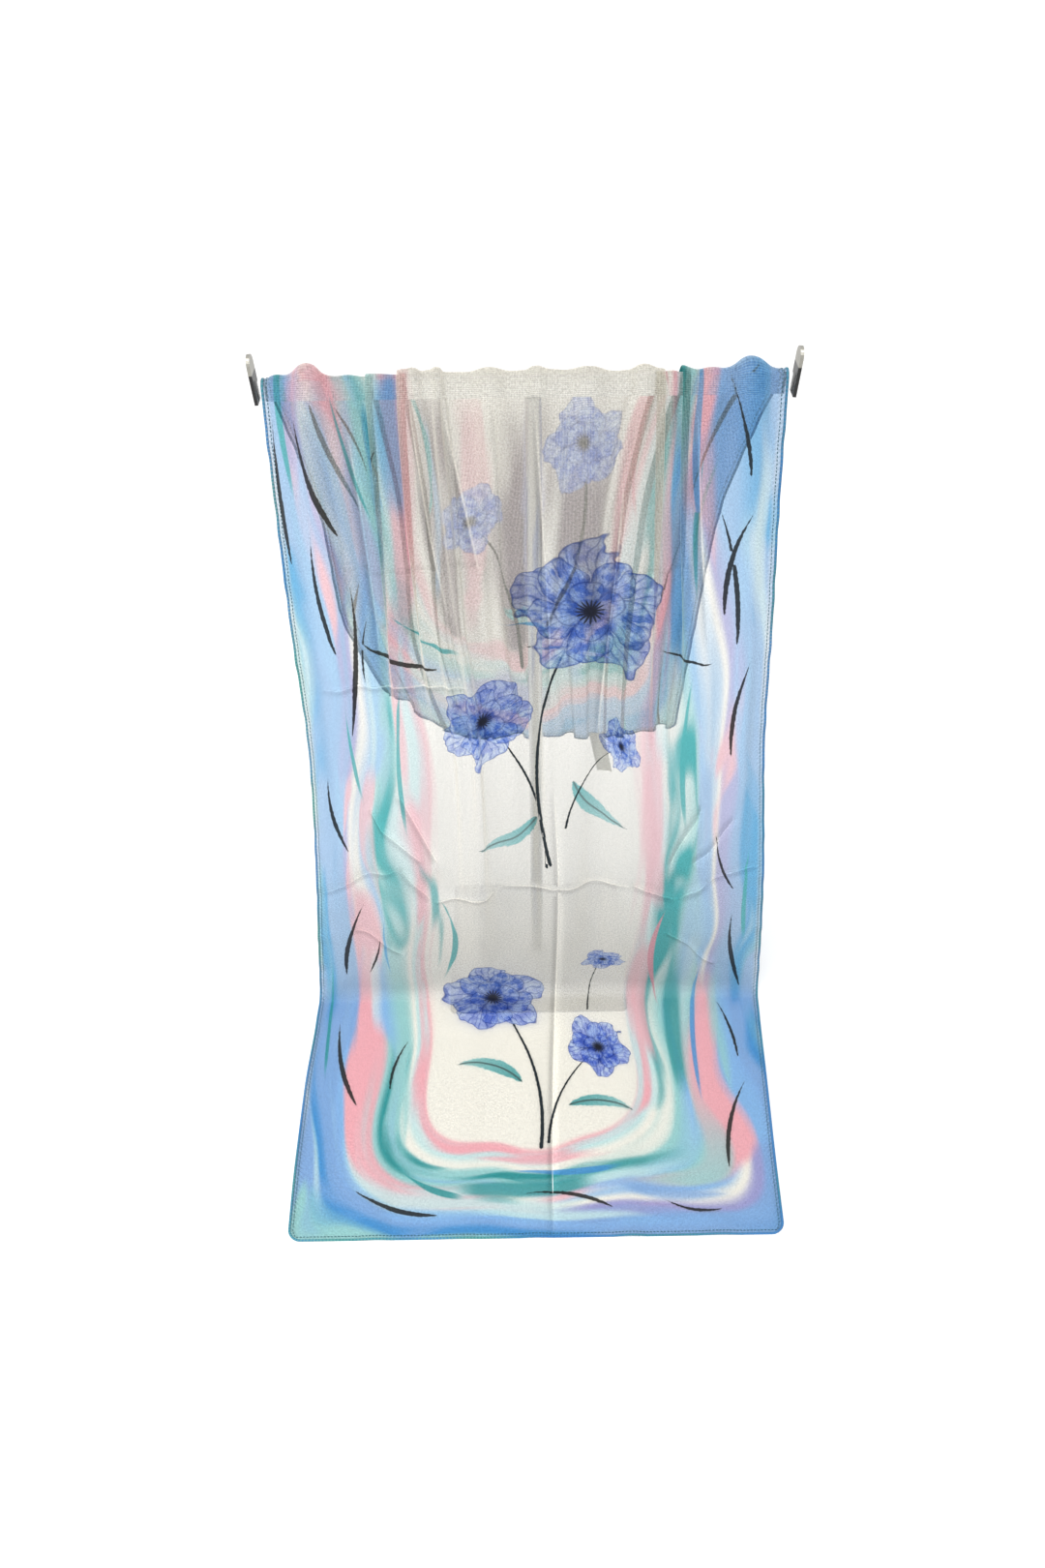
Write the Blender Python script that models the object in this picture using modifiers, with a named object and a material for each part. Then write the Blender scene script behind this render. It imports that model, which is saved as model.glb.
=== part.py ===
"""A chiffon scarf draped over a T-bar display stand, with its front end laid out on the surface.

Metres, +Z up. The stand's post rises from the origin, the front of the scarf faces -Y, and the stand and
the laid end of the scarf rest on z = 0. One woven cut runs from the back hem up to the bar, over it, down
the front and forward along the surface. Every section across it has the full width of the cut: folds in
depth take up the width that the outline doesn't show.
"""

import math
from collections import namedtuple

import bmesh
import bpy
import numpy as np
from mathutils import Matrix, Vector

# The scarf's cut
CUT_WIDTH = 0.500
WALL = 0.001
SEAM_GAP = 0.0003
COLUMNS_ACROSS = 64

# The stand
BASE_SIDE = 0.200
BASE_THICKNESS = 0.004
BASE_CORNER_RADIUS = 0.006
FOOT_DIAMETER = 0.0125
FOOT_TOP = 0.064
POST_DIAMETER = 0.014
ROUND_SIDES = 24
BAR_TOP = 0.712
BAR_HEIGHT = 0.018
BAR_THICKNESS = 0.0035
BAR_LENGTH = 0.451
BAR_CENTRE_X = -0.0067
STOP_THICKNESS = 0.003
STOP_DEPTH = 0.018
STOP_RISE = 0.023
STOP_LEAN = math.radians(4.0)
BAR_BOTTOM = BAR_TOP - BAR_HEIGHT

# The care label, sewn by its top edge inside the back hem
LABEL_COLUMNS = 5
LABEL_DROP = 0.050
LABEL_OVERLAP = 0.005
LABEL_PLACE = 0.328125
LABEL_GAP = 0.0013
LABEL_SWING = 0.009
LABEL_LEAN = 0.002

# The path of the cloth from the back hem to the front hem, with its outline. left and right are the x of
# the two selvages; fold is how deep the pleats of the bar still are, from 0 to 1, and wave how strongly
# the small ripples share in taking up the width.
Station = namedtuple("Station", "name y z left right fold wave")
CLOTH_ABOVE_BAR = BAR_TOP + 0.0013
PATH = (
    Station("back hem", 0.0240, 0.2950, -0.150, 0.146, 0.75, 1.00),
    Station("back, low", 0.0225, 0.3450, -0.168, 0.150, 0.78, 0.90),
    Station("back, middle", 0.0200, 0.4300, -0.188, 0.157, 0.85, 0.70),
    Station("back, upper", 0.0170, 0.5650, -0.195, 0.170, 0.95, 0.40),
    Station("back, under the bar", 0.0130, 0.6600, -0.215, 0.196, 1.00, 0.20),
    Station("back of the bar", 0.0085, 0.7000, -0.225, 0.210, 1.00, 0.10),
    Station("back shoulder", 0.0050, CLOTH_ABOVE_BAR - 0.0030, -0.2265, 0.2125, 1.00, 0.10),
    Station("top of the bar", 0.0000, CLOTH_ABOVE_BAR, -0.2275, 0.2135, 1.00, 0.10),
    Station("front shoulder", -0.0050, CLOTH_ABOVE_BAR - 0.0030, -0.2275, 0.2135, 1.00, 0.10),
    Station("front of the bar", -0.0090, 0.7000, -0.2275, 0.2135, 1.00, 0.10),
    Station("below the bar", -0.0120, 0.6730, -0.2280, 0.2140, 0.95, 0.15),
    Station("upper front", -0.0200, 0.5880, -0.2280, 0.2165, 0.80, 0.30),
    Station("middle front", -0.0330, 0.4700, -0.2270, 0.2210, 0.60, 0.50),
    Station("lower front", -0.0480, 0.3600, -0.2240, 0.2240, 0.40, 0.70),
    Station("waist", -0.0630, 0.2600, -0.2270, 0.2310, 0.22, 0.85),
    Station("crease", -0.0740, 0.1900, -0.2310, 0.2360, 0.12, 1.00),
    Station("under the crease", -0.0710, 0.1200, -0.2380, 0.2420, 0.06, 1.00),
    Station("above the bend", -0.0650, 0.0500, -0.2450, 0.2480, 0.03, 1.00),
    Station("bend", -0.0690, 0.0140, -0.2480, 0.2500, 0.02, 1.00),
    Station("touch-down", -0.0840, 0.0005, -0.2490, 0.2490, 0.00, 1.00),
    Station("laid, near", -0.1200, 0.0005, -0.2500, 0.2470, 0.00, 1.00),
    Station("laid, middle", -0.2000, 0.0005, -0.2530, 0.2430, 0.00, 1.00),
    Station("laid, far", -0.2900, 0.0005, -0.2525, 0.2380, 0.00, 1.00),
    Station("front hem", -0.3790, 0.0005, -0.2500, 0.2340, 0.00, 1.00),
)

# The folds that hang from the bar: their place on the flat cut, the flat width that each takes, how far
# the cloth turns out of its plane at the bar, how far it leans to one side, and how far the fold's place
# has moved across by the time it dies out at the waist.
Fold = namedtuple("Fold", "name place width turn lean drift")
FOLDS = (
    Fold("left selvage tuck", 0.012, 0.022, 50, 10, 0.002),
    Fold("left puff", 0.041, 0.040, 62, 0, 0.004),
    Fold("left soft roll", 0.084, 0.038, 34, 8, 0.006),
    Fold("left pleat", 0.126, 0.042, 74, -22, 0.012),
    Fold("inner ridge", 0.163, 0.026, 58, 12, 0.010),
    Fold("ridge by the slit", 0.190, 0.026, 54, -10, 0.008),
    Fold("left of centre", 0.228, 0.040, 26, 0, 0.004),
    Fold("centre ridge", 0.272, 0.036, 36, 6, 0.002),
    Fold("right of centre", 0.312, 0.038, 24, 0, -0.002),
    Fold("pale pleat", 0.354, 0.040, 52, 20, -0.006),
    Fold("blue pleat", 0.400, 0.042, 72, 24, -0.010),
    Fold("right soft roll", 0.438, 0.028, 40, -6, -0.004),
    Fold("right puff", 0.474, 0.042, 66, 0, -0.002),
)

# The small ripples: two uneven wave lengths on the flat cut, in metres
RIPPLE_LENGTHS = (0.057, 0.0365)
RIPPLE_SHARES = (0.62, 0.38)
RIPPLE_PHASES = (0.7, 2.1)
RIPPLE_DRIFT = (1.9, -2.6)
# Ripples of the laid end lie flat below this height, so that the cloth rests on the surface between them
LAID_FLAT_BELOW = 0.0016

# The corners of the back hem are drawn up by the narrow folds above them, the left one much further
LEFT_CORNER_LIFT = 0.060
RIGHT_CORNER_LIFT = 0.012
CORNER_REACH = 0.150
CORNER_LIFT_TOP = 0.560

# How the laid end rides over the base plate and comes down beyond it
RIDE_CLEAR = 0.006
RIDE_RUN = 0.030
RIDE_HEIGHT = BASE_THICKNESS + SEAM_GAP
RIDE_FADE_HEIGHT = 0.060

# The stretches: a node for each, with the stations that it runs between and its rows along the cloth
Stretch = namedtuple("Stretch", "node start end rows")
STRETCHES = (
    Stretch("scarf_back_stretch", "back hem", "back, under the bar", 8),
    Stretch("scarf_over_bar", "back, under the bar", "below the bar", 10),
    Stretch("scarf_front_stretch", "below the bar", "above the bend", 13),
    Stretch("scarf_laid_end", "above the bend", "front hem", 14),
)

# How finely a section is worked out, and the bounds of the search for how deep its folds are
INTEGRATION_STEPS = 800
SOLVE_STEPS = 30
MAX_MULTIPLIER = 3.0
WAVE_TURN = 0.5
PATH_STEP = 0.0004
PATH_SAMPLES = 400
BEND_WEIGHT = 0.10


def clean_scene():
    for thing in list(bpy.data.objects):
        bpy.data.objects.remove(thing, do_unlink=True)
    for group in list(bpy.data.collections):
        bpy.data.collections.remove(group)


def make_material(name, colour, roughness, metallic=0.0):
    material = bpy.data.materials.new(name)
    material.use_nodes = True
    shader = material.node_tree.nodes["Principled BSDF"]
    shader.inputs["Base Color"].default_value = (*colour, 1.0)
    shader.inputs["Roughness"].default_value = roughness
    shader.inputs["Metallic"].default_value = metallic
    return material


def smooth_step(value, start, end):
    t = np.clip((np.asarray(value, float) - start) / (end - start), 0.0, 1.0)
    return t * t * (3.0 - 2.0 * t)


def monotone_slopes(knots, values):
    """Slopes of a smooth curve through the values that never overshoots them."""
    steps = np.diff(knots)
    rises = np.diff(values) / steps
    slopes = np.empty(len(values))
    slopes[0], slopes[-1] = rises[0], rises[-1]
    for k in range(1, len(values) - 1):
        before, after = rises[k - 1], rises[k]
        if before * after <= 0:
            slopes[k] = 0.0
        else:
            w1 = 2 * steps[k] + steps[k - 1]
            w2 = steps[k] + 2 * steps[k - 1]
            slopes[k] = (w1 + w2) / (w1 / before + w2 / after)
    return slopes


def smooth_curve(knots, values, at):
    """Reads a smooth curve through (knots, values) at the given places."""
    knots, values = np.asarray(knots, float), np.asarray(values, float)
    slopes = monotone_slopes(knots, values)
    at = np.clip(at, knots[0], knots[-1])
    k = np.clip(np.searchsorted(knots, at, side="right") - 1, 0, len(knots) - 2)
    step = knots[k + 1] - knots[k]
    t = (at - knots[k]) / step
    return (
        values[k] * (1 + 2 * t) * (1 - t) ** 2
        + slopes[k] * step * t * (1 - t) ** 2
        + values[k + 1] * t * t * (3 - 2 * t)
        + slopes[k + 1] * step * t * t * (t - 1)
    )


def station_distances():
    """Distance along the path of each station, measured from the back hem."""
    points = np.array([(row.y, row.z) for row in PATH])
    return np.concatenate([[0.0], np.cumsum(np.linalg.norm(np.diff(points, axis=0), axis=1))])


DISTANCES = station_distances()
DISTANCE_OF = {row.name: DISTANCES[k] for k, row in enumerate(PATH)}


def column(name, at):
    return smooth_curve(DISTANCES, [getattr(row, name) for row in PATH], at)


def path_frame(at):
    """The path's point, and its outward normal, as (y, z) pairs."""
    low, high = max(at - PATH_STEP, DISTANCES[0]), min(at + PATH_STEP, DISTANCES[-1])
    along = np.array([column("y", high) - column("y", low), column("z", high) - column("z", low)])
    along = along / np.linalg.norm(along)
    return np.array([column("y", at), column("z", at)]), np.array([along[1], -along[0]])


def turn_angle(u, at):
    """How far the cloth turns out of its plane at each place u on the flat cut, before it is scaled."""
    fold_share, wave_share = column("fold", at), column("wave", at)
    waist = DISTANCE_OF["waist"]
    moved = float(smooth_step(at, DISTANCE_OF["front of the bar"], waist))
    angle = np.zeros_like(u)
    for fold in FOLDS:
        t = (u - fold.place - fold.drift * moved) / fold.width + 0.5
        inside = (t > 0) & (t < 1)
        ridge = math.radians(fold.turn) * np.sin(2 * math.pi * t)
        ridge = ridge + math.radians(fold.lean) * np.sin(math.pi * t) ** 2
        angle = angle + np.where(inside, ridge, 0.0) * fold_share
    for length, share, phase, drift in zip(RIPPLE_LENGTHS, RIPPLE_SHARES, RIPPLE_PHASES, RIPPLE_DRIFT):
        wave = np.sin(2 * math.pi * u / length + phase + drift * at)
        angle = angle + wave_share * share * WAVE_TURN * wave
    return angle


def section(at):
    """x across, and depth out of the plane, of a section whose length is the full width of the cut."""
    u = np.linspace(0.0, CUT_WIDTH, INTEGRATION_STEPS + 1)
    middle = 0.5 * (u[1:] + u[:-1])
    step = CUT_WIDTH / INTEGRATION_STEPS
    angle = turn_angle(middle, at)
    left, right = float(column("left", at)), float(column("right", at))
    low, high = 0.0, MAX_MULTIPLIER
    for _ in range(SOLVE_STEPS):
        multiplier = 0.5 * (low + high)
        if np.sum(np.cos(angle * multiplier)) * step > right - left:
            low = multiplier
        else:
            high = multiplier
    x = np.concatenate([[0.0], np.cumsum(np.cos(angle * multiplier)) * step])
    depth = np.concatenate([[0.0], np.cumsum(np.sin(angle * multiplier)) * step])
    depth = depth - depth[-1] * u / CUT_WIDTH
    return u, left + x * (right - left) / x[-1], depth - depth.min()


def ride_over_base(x, y):
    """How much of the base plate's height the cloth takes at a place on the surface."""
    edge = BASE_SIDE / 2 + RIDE_CLEAR
    beside = 1.0 - smooth_step(np.abs(x), edge, edge + RIDE_RUN)
    before = 1.0 - smooth_step(-np.asarray(y), edge, edge + RIDE_RUN)
    return beside * before


def cloth_row(at, columns):
    """World points of one row across the cloth, at a distance along it."""
    u, x, depth = section(at)
    laid = float(smooth_step(at, DISTANCE_OF["above the bend"], DISTANCE_OF["touch-down"]))
    flat_depth = np.maximum(depth - LAID_FLAT_BELOW, 0.0)
    depth = depth * (1 - laid) + flat_depth * laid
    point, normal = path_frame(at)
    x_at = np.interp(columns, u, x)
    depth_at = np.interp(columns, u, depth)
    y = point[0] + normal[0] * depth_at
    z = point[1] + normal[1] * depth_at
    if at < DISTANCE_OF["back, under the bar"]:
        left_share = 1.0 - smooth_step(columns, 0.0, CORNER_REACH)
        right_share = smooth_step(columns, CUT_WIDTH - CORNER_REACH, CUT_WIDTH)
        low_share = 1.0 - smooth_step(point[1], PATH[0].z, CORNER_LIFT_TOP)
        z = z + (LEFT_CORNER_LIFT * left_share + RIGHT_CORNER_LIFT * right_share) * low_share
    if at > DISTANCE_OF["waist"]:
        near_base = 1.0 - smooth_step(point[1], 0.0, RIDE_FADE_HEIGHT)
        z = z + RIDE_HEIGHT * ride_over_base(x_at, y) * near_base
    return np.stack([x_at, y, z], axis=1)


def stretch_rows(stretch):
    """Distances along the cloth of a stretch's rows, closer together where the path bends."""
    start = DISTANCE_OF[stretch.start] + (SEAM_GAP / 2 if stretch.start != PATH[0].name else 0.0)
    end = DISTANCE_OF[stretch.end] - (SEAM_GAP / 2 if stretch.end != PATH[-1].name else 0.0)
    fine = np.linspace(start, end, PATH_SAMPLES)
    normals = np.array([path_frame(at)[1] for at in fine])
    turning = np.linalg.norm(np.diff(normals, axis=0), axis=1)
    effort = np.concatenate([[0.0], np.cumsum(turning * BEND_WEIGHT + np.diff(fine))])
    return np.interp(np.linspace(0.0, effort[-1], stretch.rows), effort, fine)


def grid_object(name, rows, material, group):
    """A sheet of quads through rows of points, with Solidify for its wall."""
    mesh = bpy.data.meshes.new(name)
    across = len(rows[0])
    vertices = [tuple(point) for row in rows for point in row]
    faces = [
        (r * across + c, r * across + c + 1, (r + 1) * across + c + 1, (r + 1) * across + c)
        for r in range(len(rows) - 1)
        for c in range(across - 1)
    ]
    mesh.from_pydata(vertices, [], faces)
    mesh.materials.append(material)
    thing = bpy.data.objects.new(name, mesh)
    group.objects.link(thing)
    wall = thing.modifiers.new("Wall", "SOLIDIFY")
    wall.thickness = WALL
    wall.offset = 0.0
    wall.use_even_offset = True
    for polygon in mesh.polygons:
        polygon.use_smooth = True
    return thing


def make_scarf(group, chiffon):
    columns = np.linspace(0.0, CUT_WIDTH, COLUMNS_ACROSS + 1)
    for stretch in STRETCHES:
        rows = [cloth_row(at, columns) for at in stretch_rows(stretch)]
        grid_object(stretch.node, rows, chiffon, group)


def make_label(group, satin):
    """A small tape label that hangs from the inside of the back hem, sewn along its top edge."""
    columns = LABEL_PLACE + CUT_WIDTH / COLUMNS_ACROSS * np.arange(LABEL_COLUMNS)
    next_row = stretch_rows(STRETCHES[0])[1]
    hem, above = cloth_row(0.0, columns), cloth_row(next_row, columns)
    rows = []
    for share in (LABEL_OVERLAP / next_row, 0.0):
        points = hem + (above - hem) * share
        across = np.gradient(points, axis=0)
        inward = np.stack([across[:, 1], -across[:, 0], np.zeros(len(points))], axis=1)
        inward = inward / np.linalg.norm(inward, axis=1)[:, None]
        rows.append([Vector(point) for point in points + inward * (WALL + LABEL_GAP)])
    for share in (0.25, 0.5, 0.75, 1.0):
        drop = Vector((LABEL_SWING * share, -LABEL_LEAN * share, -(LABEL_DROP - LABEL_OVERLAP) * share))
        rows.append([point + drop for point in rows[1]])
    grid_object("care_label", rows[::-1], satin, group)


def box_mesh(name, size, corner_radius=0.0):
    mesh = bpy.data.meshes.new(name)
    bm = bmesh.new()
    bmesh.ops.create_cube(bm, size=1.0, matrix=Matrix.Diagonal((*size, 1.0)))
    if corner_radius:
        upright = [e for e in bm.edges if abs(e.verts[0].co.z - e.verts[1].co.z) > size[2] * 0.5]
        bmesh.ops.bevel(bm, geom=upright, offset=corner_radius, segments=5, profile=0.5, affect="EDGES")
    bm.to_mesh(mesh)
    bm.free()
    return mesh


def place(name, mesh, material, group, location, rotation=(0.0, 0.0, 0.0)):
    mesh.materials.append(material)
    thing = bpy.data.objects.new(name, mesh)
    thing.location = location
    thing.rotation_euler = rotation
    group.objects.link(thing)
    return thing


def tube_section(name, diameter, bottom, top, material, group):
    mesh = bpy.data.meshes.new(name)
    bm = bmesh.new()
    bmesh.ops.create_cone(
        bm,
        cap_ends=True,
        segments=ROUND_SIDES,
        radius1=diameter / 2,
        radius2=diameter / 2,
        depth=top - bottom,
    )
    bm.to_mesh(mesh)
    bm.free()
    thing = place(name, mesh, material, group, (0.0, 0.0, (top + bottom) / 2))
    mesh.shade_smooth()
    mesh.set_sharp_from_angle(angle=math.radians(40))
    return thing


def make_end_stop(name, side, material, group):
    """An upright tab with a rounded head, welded to one end of the bar and leaning a little outward."""
    height = BAR_HEIGHT + STOP_RISE
    size = (STOP_THICKNESS, STOP_DEPTH, height)
    mesh = bpy.data.meshes.new(name)
    bm = bmesh.new()
    bmesh.ops.create_cube(bm, size=1.0, matrix=Matrix.Diagonal((*size, 1.0)))
    shoulders = [
        e
        for e in bm.edges
        if all(v.co.z > 0 for v in e.verts) and abs(e.verts[0].co.x - e.verts[1].co.x) > STOP_THICKNESS / 2
    ]
    bmesh.ops.bevel(bm, geom=shoulders, offset=STOP_DEPTH * 0.48, segments=6, profile=0.5, affect="EDGES")
    inner_foot = Vector((-side * STOP_THICKNESS / 2, 0.0, -height / 2))
    bmesh.ops.translate(bm, verts=bm.verts, vec=-inner_foot)
    bm.to_mesh(mesh)
    bm.free()
    end = BAR_CENTRE_X + side * (BAR_LENGTH / 2 + SEAM_GAP)
    place(name, mesh, material, group, (end, 0.0, BAR_BOTTOM), (0.0, side * STOP_LEAN, 0.0))


def make_stand(group, chrome):
    base = box_mesh("stand_base", (BASE_SIDE, BASE_SIDE, BASE_THICKNESS), BASE_CORNER_RADIUS)
    place("stand_base", base, chrome, group, (0.0, 0.0, BASE_THICKNESS / 2))
    tube_section("stand_foot", FOOT_DIAMETER, BASE_THICKNESS + SEAM_GAP, FOOT_TOP, chrome, group)
    tube_section("stand_post", POST_DIAMETER, FOOT_TOP + SEAM_GAP, BAR_BOTTOM - SEAM_GAP, chrome, group)
    bar = box_mesh("stand_bar", (BAR_LENGTH, BAR_THICKNESS, BAR_HEIGHT))
    place("stand_bar", bar, chrome, group, (BAR_CENTRE_X, 0.0, BAR_TOP - BAR_HEIGHT / 2))
    make_end_stop("stand_end_stop_left", -1, chrome, group)
    make_end_stop("stand_end_stop_right", 1, chrome, group)


clean_scene()
collection = bpy.data.collections.new("chiffon_scarf_on_t_bar_stand")
bpy.context.scene.collection.children.link(collection)
chiffon_cloth = make_material("polyester chiffon", (0.80, 0.84, 0.84), 0.6)
satin_tape = make_material("satin label tape", (0.72, 0.72, 0.70), 0.45)
chromed_steel = make_material("chromed steel", (0.62, 0.63, 0.64), 0.12, 1.0)
make_scarf(collection, chiffon_cloth)
make_label(collection, satin_tape)
make_stand(collection, chromed_steel)
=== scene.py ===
"""A printed chiffon scarf draped over a T-bar display stand: the looks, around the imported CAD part.

Metres, +Z up. The front of the scarf faces -Y, and the stand and the scarf's front end rest on z = 0.
"""

import math
from collections import namedtuple

import bpy
import numpy as np
from mathutils import Matrix, Vector


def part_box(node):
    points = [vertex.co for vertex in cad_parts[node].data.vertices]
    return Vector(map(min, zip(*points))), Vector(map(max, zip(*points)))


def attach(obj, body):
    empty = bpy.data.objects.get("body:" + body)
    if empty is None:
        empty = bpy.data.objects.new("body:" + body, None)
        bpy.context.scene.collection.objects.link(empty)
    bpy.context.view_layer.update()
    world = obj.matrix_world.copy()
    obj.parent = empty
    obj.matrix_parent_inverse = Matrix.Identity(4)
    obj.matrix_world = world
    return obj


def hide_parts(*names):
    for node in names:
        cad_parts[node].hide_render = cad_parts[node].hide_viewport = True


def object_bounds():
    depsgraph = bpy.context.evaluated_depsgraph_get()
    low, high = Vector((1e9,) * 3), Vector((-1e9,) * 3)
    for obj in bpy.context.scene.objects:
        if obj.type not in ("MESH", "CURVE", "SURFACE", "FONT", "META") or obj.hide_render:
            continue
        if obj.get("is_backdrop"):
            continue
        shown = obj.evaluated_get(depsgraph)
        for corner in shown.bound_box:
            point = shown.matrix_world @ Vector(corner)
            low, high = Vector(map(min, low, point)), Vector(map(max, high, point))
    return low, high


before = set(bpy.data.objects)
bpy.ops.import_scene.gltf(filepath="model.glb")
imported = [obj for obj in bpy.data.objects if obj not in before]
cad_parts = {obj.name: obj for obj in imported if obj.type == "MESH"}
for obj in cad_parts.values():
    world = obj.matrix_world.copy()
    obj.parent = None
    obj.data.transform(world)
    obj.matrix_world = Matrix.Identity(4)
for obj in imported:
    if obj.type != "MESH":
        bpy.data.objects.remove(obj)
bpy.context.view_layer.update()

# ---------------------------------------------------------------------------------------------------
# The stand: a square steel plate, a foot and a post screwed into it, and a flat bar across the post's
# top with an upright tab at each end. The plate is satin chromed, the foot and post are chromed, the bar
# and tabs are nickel plated, and the lower part of each tab is painted black, a painted shade for its
# dark shaded side.
# ---------------------------------------------------------------------------------------------------
BAR_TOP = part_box("stand_bar")[1].z
BASE_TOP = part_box("stand_base")[1].z
BASE_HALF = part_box("stand_base")[1].x
# Below this height each tab is painted black, a painted shade for its dark side, with a soft edge this wide
TAB_SHADE_TOP = BAR_TOP + 0.008
TAB_SHADE_EDGE = 0.0004
TAB_PAINTED_SHADE_BLACK = "#0B0B0C"

# Marks of wiping for each metre: 26 mm apart on the chrome, 17 mm apart on the nickel
CHROME_MARKS = 38.0
NICKEL_MARKS = 60.0


def to_linear(colour):
    """An sRGB hex colour as linear RGBA."""
    parts = [int(colour[i : i + 2], 16) / 255 for i in (1, 3, 5)]
    return (*[p / 12.92 if p <= 0.04045 else ((p + 0.055) / 1.055) ** 2.4 for p in parts], 1.0)


def set_inputs(tree, node, inputs):
    """Sets a node's inputs. Each takes a value, a socket, or a node, whose first output is linked."""
    pairs = inputs.items() if isinstance(inputs, dict) else enumerate(inputs)
    for key, value in pairs:
        value = value.outputs[0] if isinstance(value, bpy.types.Node) else value
        if isinstance(value, bpy.types.NodeSocket):
            tree.links.new(value, node.inputs[key])
        else:
            node.inputs[key].default_value = value


def add_node(tree, kind, inputs=(), **settings):
    """Adds a shader node with its settings and its inputs."""
    node = tree.nodes.new("ShaderNode" + kind)
    for name, value in settings.items():
        setattr(node, name, value)
    set_inputs(tree, node, inputs)
    return node


# What many nodes share: a mix of two colours, a rise that is smooth at both its ends, and the two
# values that a noise seldom passes
COLOURS = {"data_type": "RGBA"}
SMOOTH = {"interpolation_type": "SMOOTHSTEP"}
NOISE = (0.3, 0.7)


def new_material(name):
    """A new material, its node tree, and the Principled shader in it."""
    material = bpy.data.materials.new(name)
    material.use_nodes = True
    tree = material.node_tree
    return material, tree, tree.nodes["Principled BSDF"]


def make_plated_steel(name, colour, roughness, marks, shade_top=None):
    """Steel with a plated surface, hazy where it was wiped, and, where a height is given, painted black below
    it as painted shade.
    """
    material, tree, shader = new_material(name)
    place = add_node(tree, "TexCoord").outputs["Object"]
    haze = add_node(tree, "TexNoise", {"Vector": place, "Scale": marks, "Detail": 4.0})
    rough = add_node(tree, "MapRange", [haze, *NOISE, *roughness])
    set_inputs(tree, shader, {"Base Color": to_linear(colour), "Metallic": 1.0, "Roughness": rough})
    if shade_top:
        # painted shade: below the given height the tab is black and not metallic
        up = add_node(tree, "SeparateXYZ", [place]).outputs[2]
        shade_edge = (shade_top - TAB_SHADE_EDGE, shade_top + TAB_SHADE_EDGE)
        unshaded = add_node(tree, "MapRange", [up, *shade_edge, 0.0, 1.0])
        tone = add_node(tree, "Mix", {0: unshaded, 6: to_linear(TAB_PAINTED_SHADE_BLACK), 7: to_linear(colour)}, **COLOURS)
        set_inputs(tree, shader, {"Base Color": tone.outputs[2], "Metallic": unshaded})
    return material


# Satin chrome scatters the light, so the plate is an even pale grey. The post's chrome is smoother, with
# a soft streak down it. The polished bar mirrors the cloth close to it and so doubles its colour there.
# The tabs' satin nickel is a warmer, duller grey, painted black below a height as painted shade.
plate_chrome = make_plated_steel("satin chromed steel", "#CBCCCE", (0.62, 0.74), CHROME_MARKS)
post_chrome = make_plated_steel("chromed steel", "#D2D3D5", (0.30, 0.40), CHROME_MARKS)
bar_nickel = make_plated_steel("polished nickel plate", "#F0F1F2", (0.08, 0.16), NICKEL_MARKS)
tab_nickel = make_plated_steel("satin nickel plate", "#9D9B93", (0.28, 0.40), NICKEL_MARKS, TAB_SHADE_TOP)
STAND_FINISH = {
    "stand_base": plate_chrome,
    "stand_post": post_chrome,
    "stand_foot": post_chrome,
    "stand_bar": bar_nickel,
    "stand_end_stop_left": tab_nickel,
    "stand_end_stop_right": tab_nickel,
}
for node, finish in STAND_FINISH.items():
    for material_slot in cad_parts[node].material_slots:
        material_slot.material = finish

# ---------------------------------------------------------------------------------------------------
# The scarf's cloth: one cut of polyester chiffon, 0.50 x 1.45 m, as woven with no seam in it. It is
# folded over the bar in a few knife pleats and soft rolls, hangs down on both sides, and its front end
# turns forward on the surface and lies there.
# ---------------------------------------------------------------------------------------------------
CUT_WIDTH = 0.500
CORNER_RADIUS = 0.012

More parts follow.
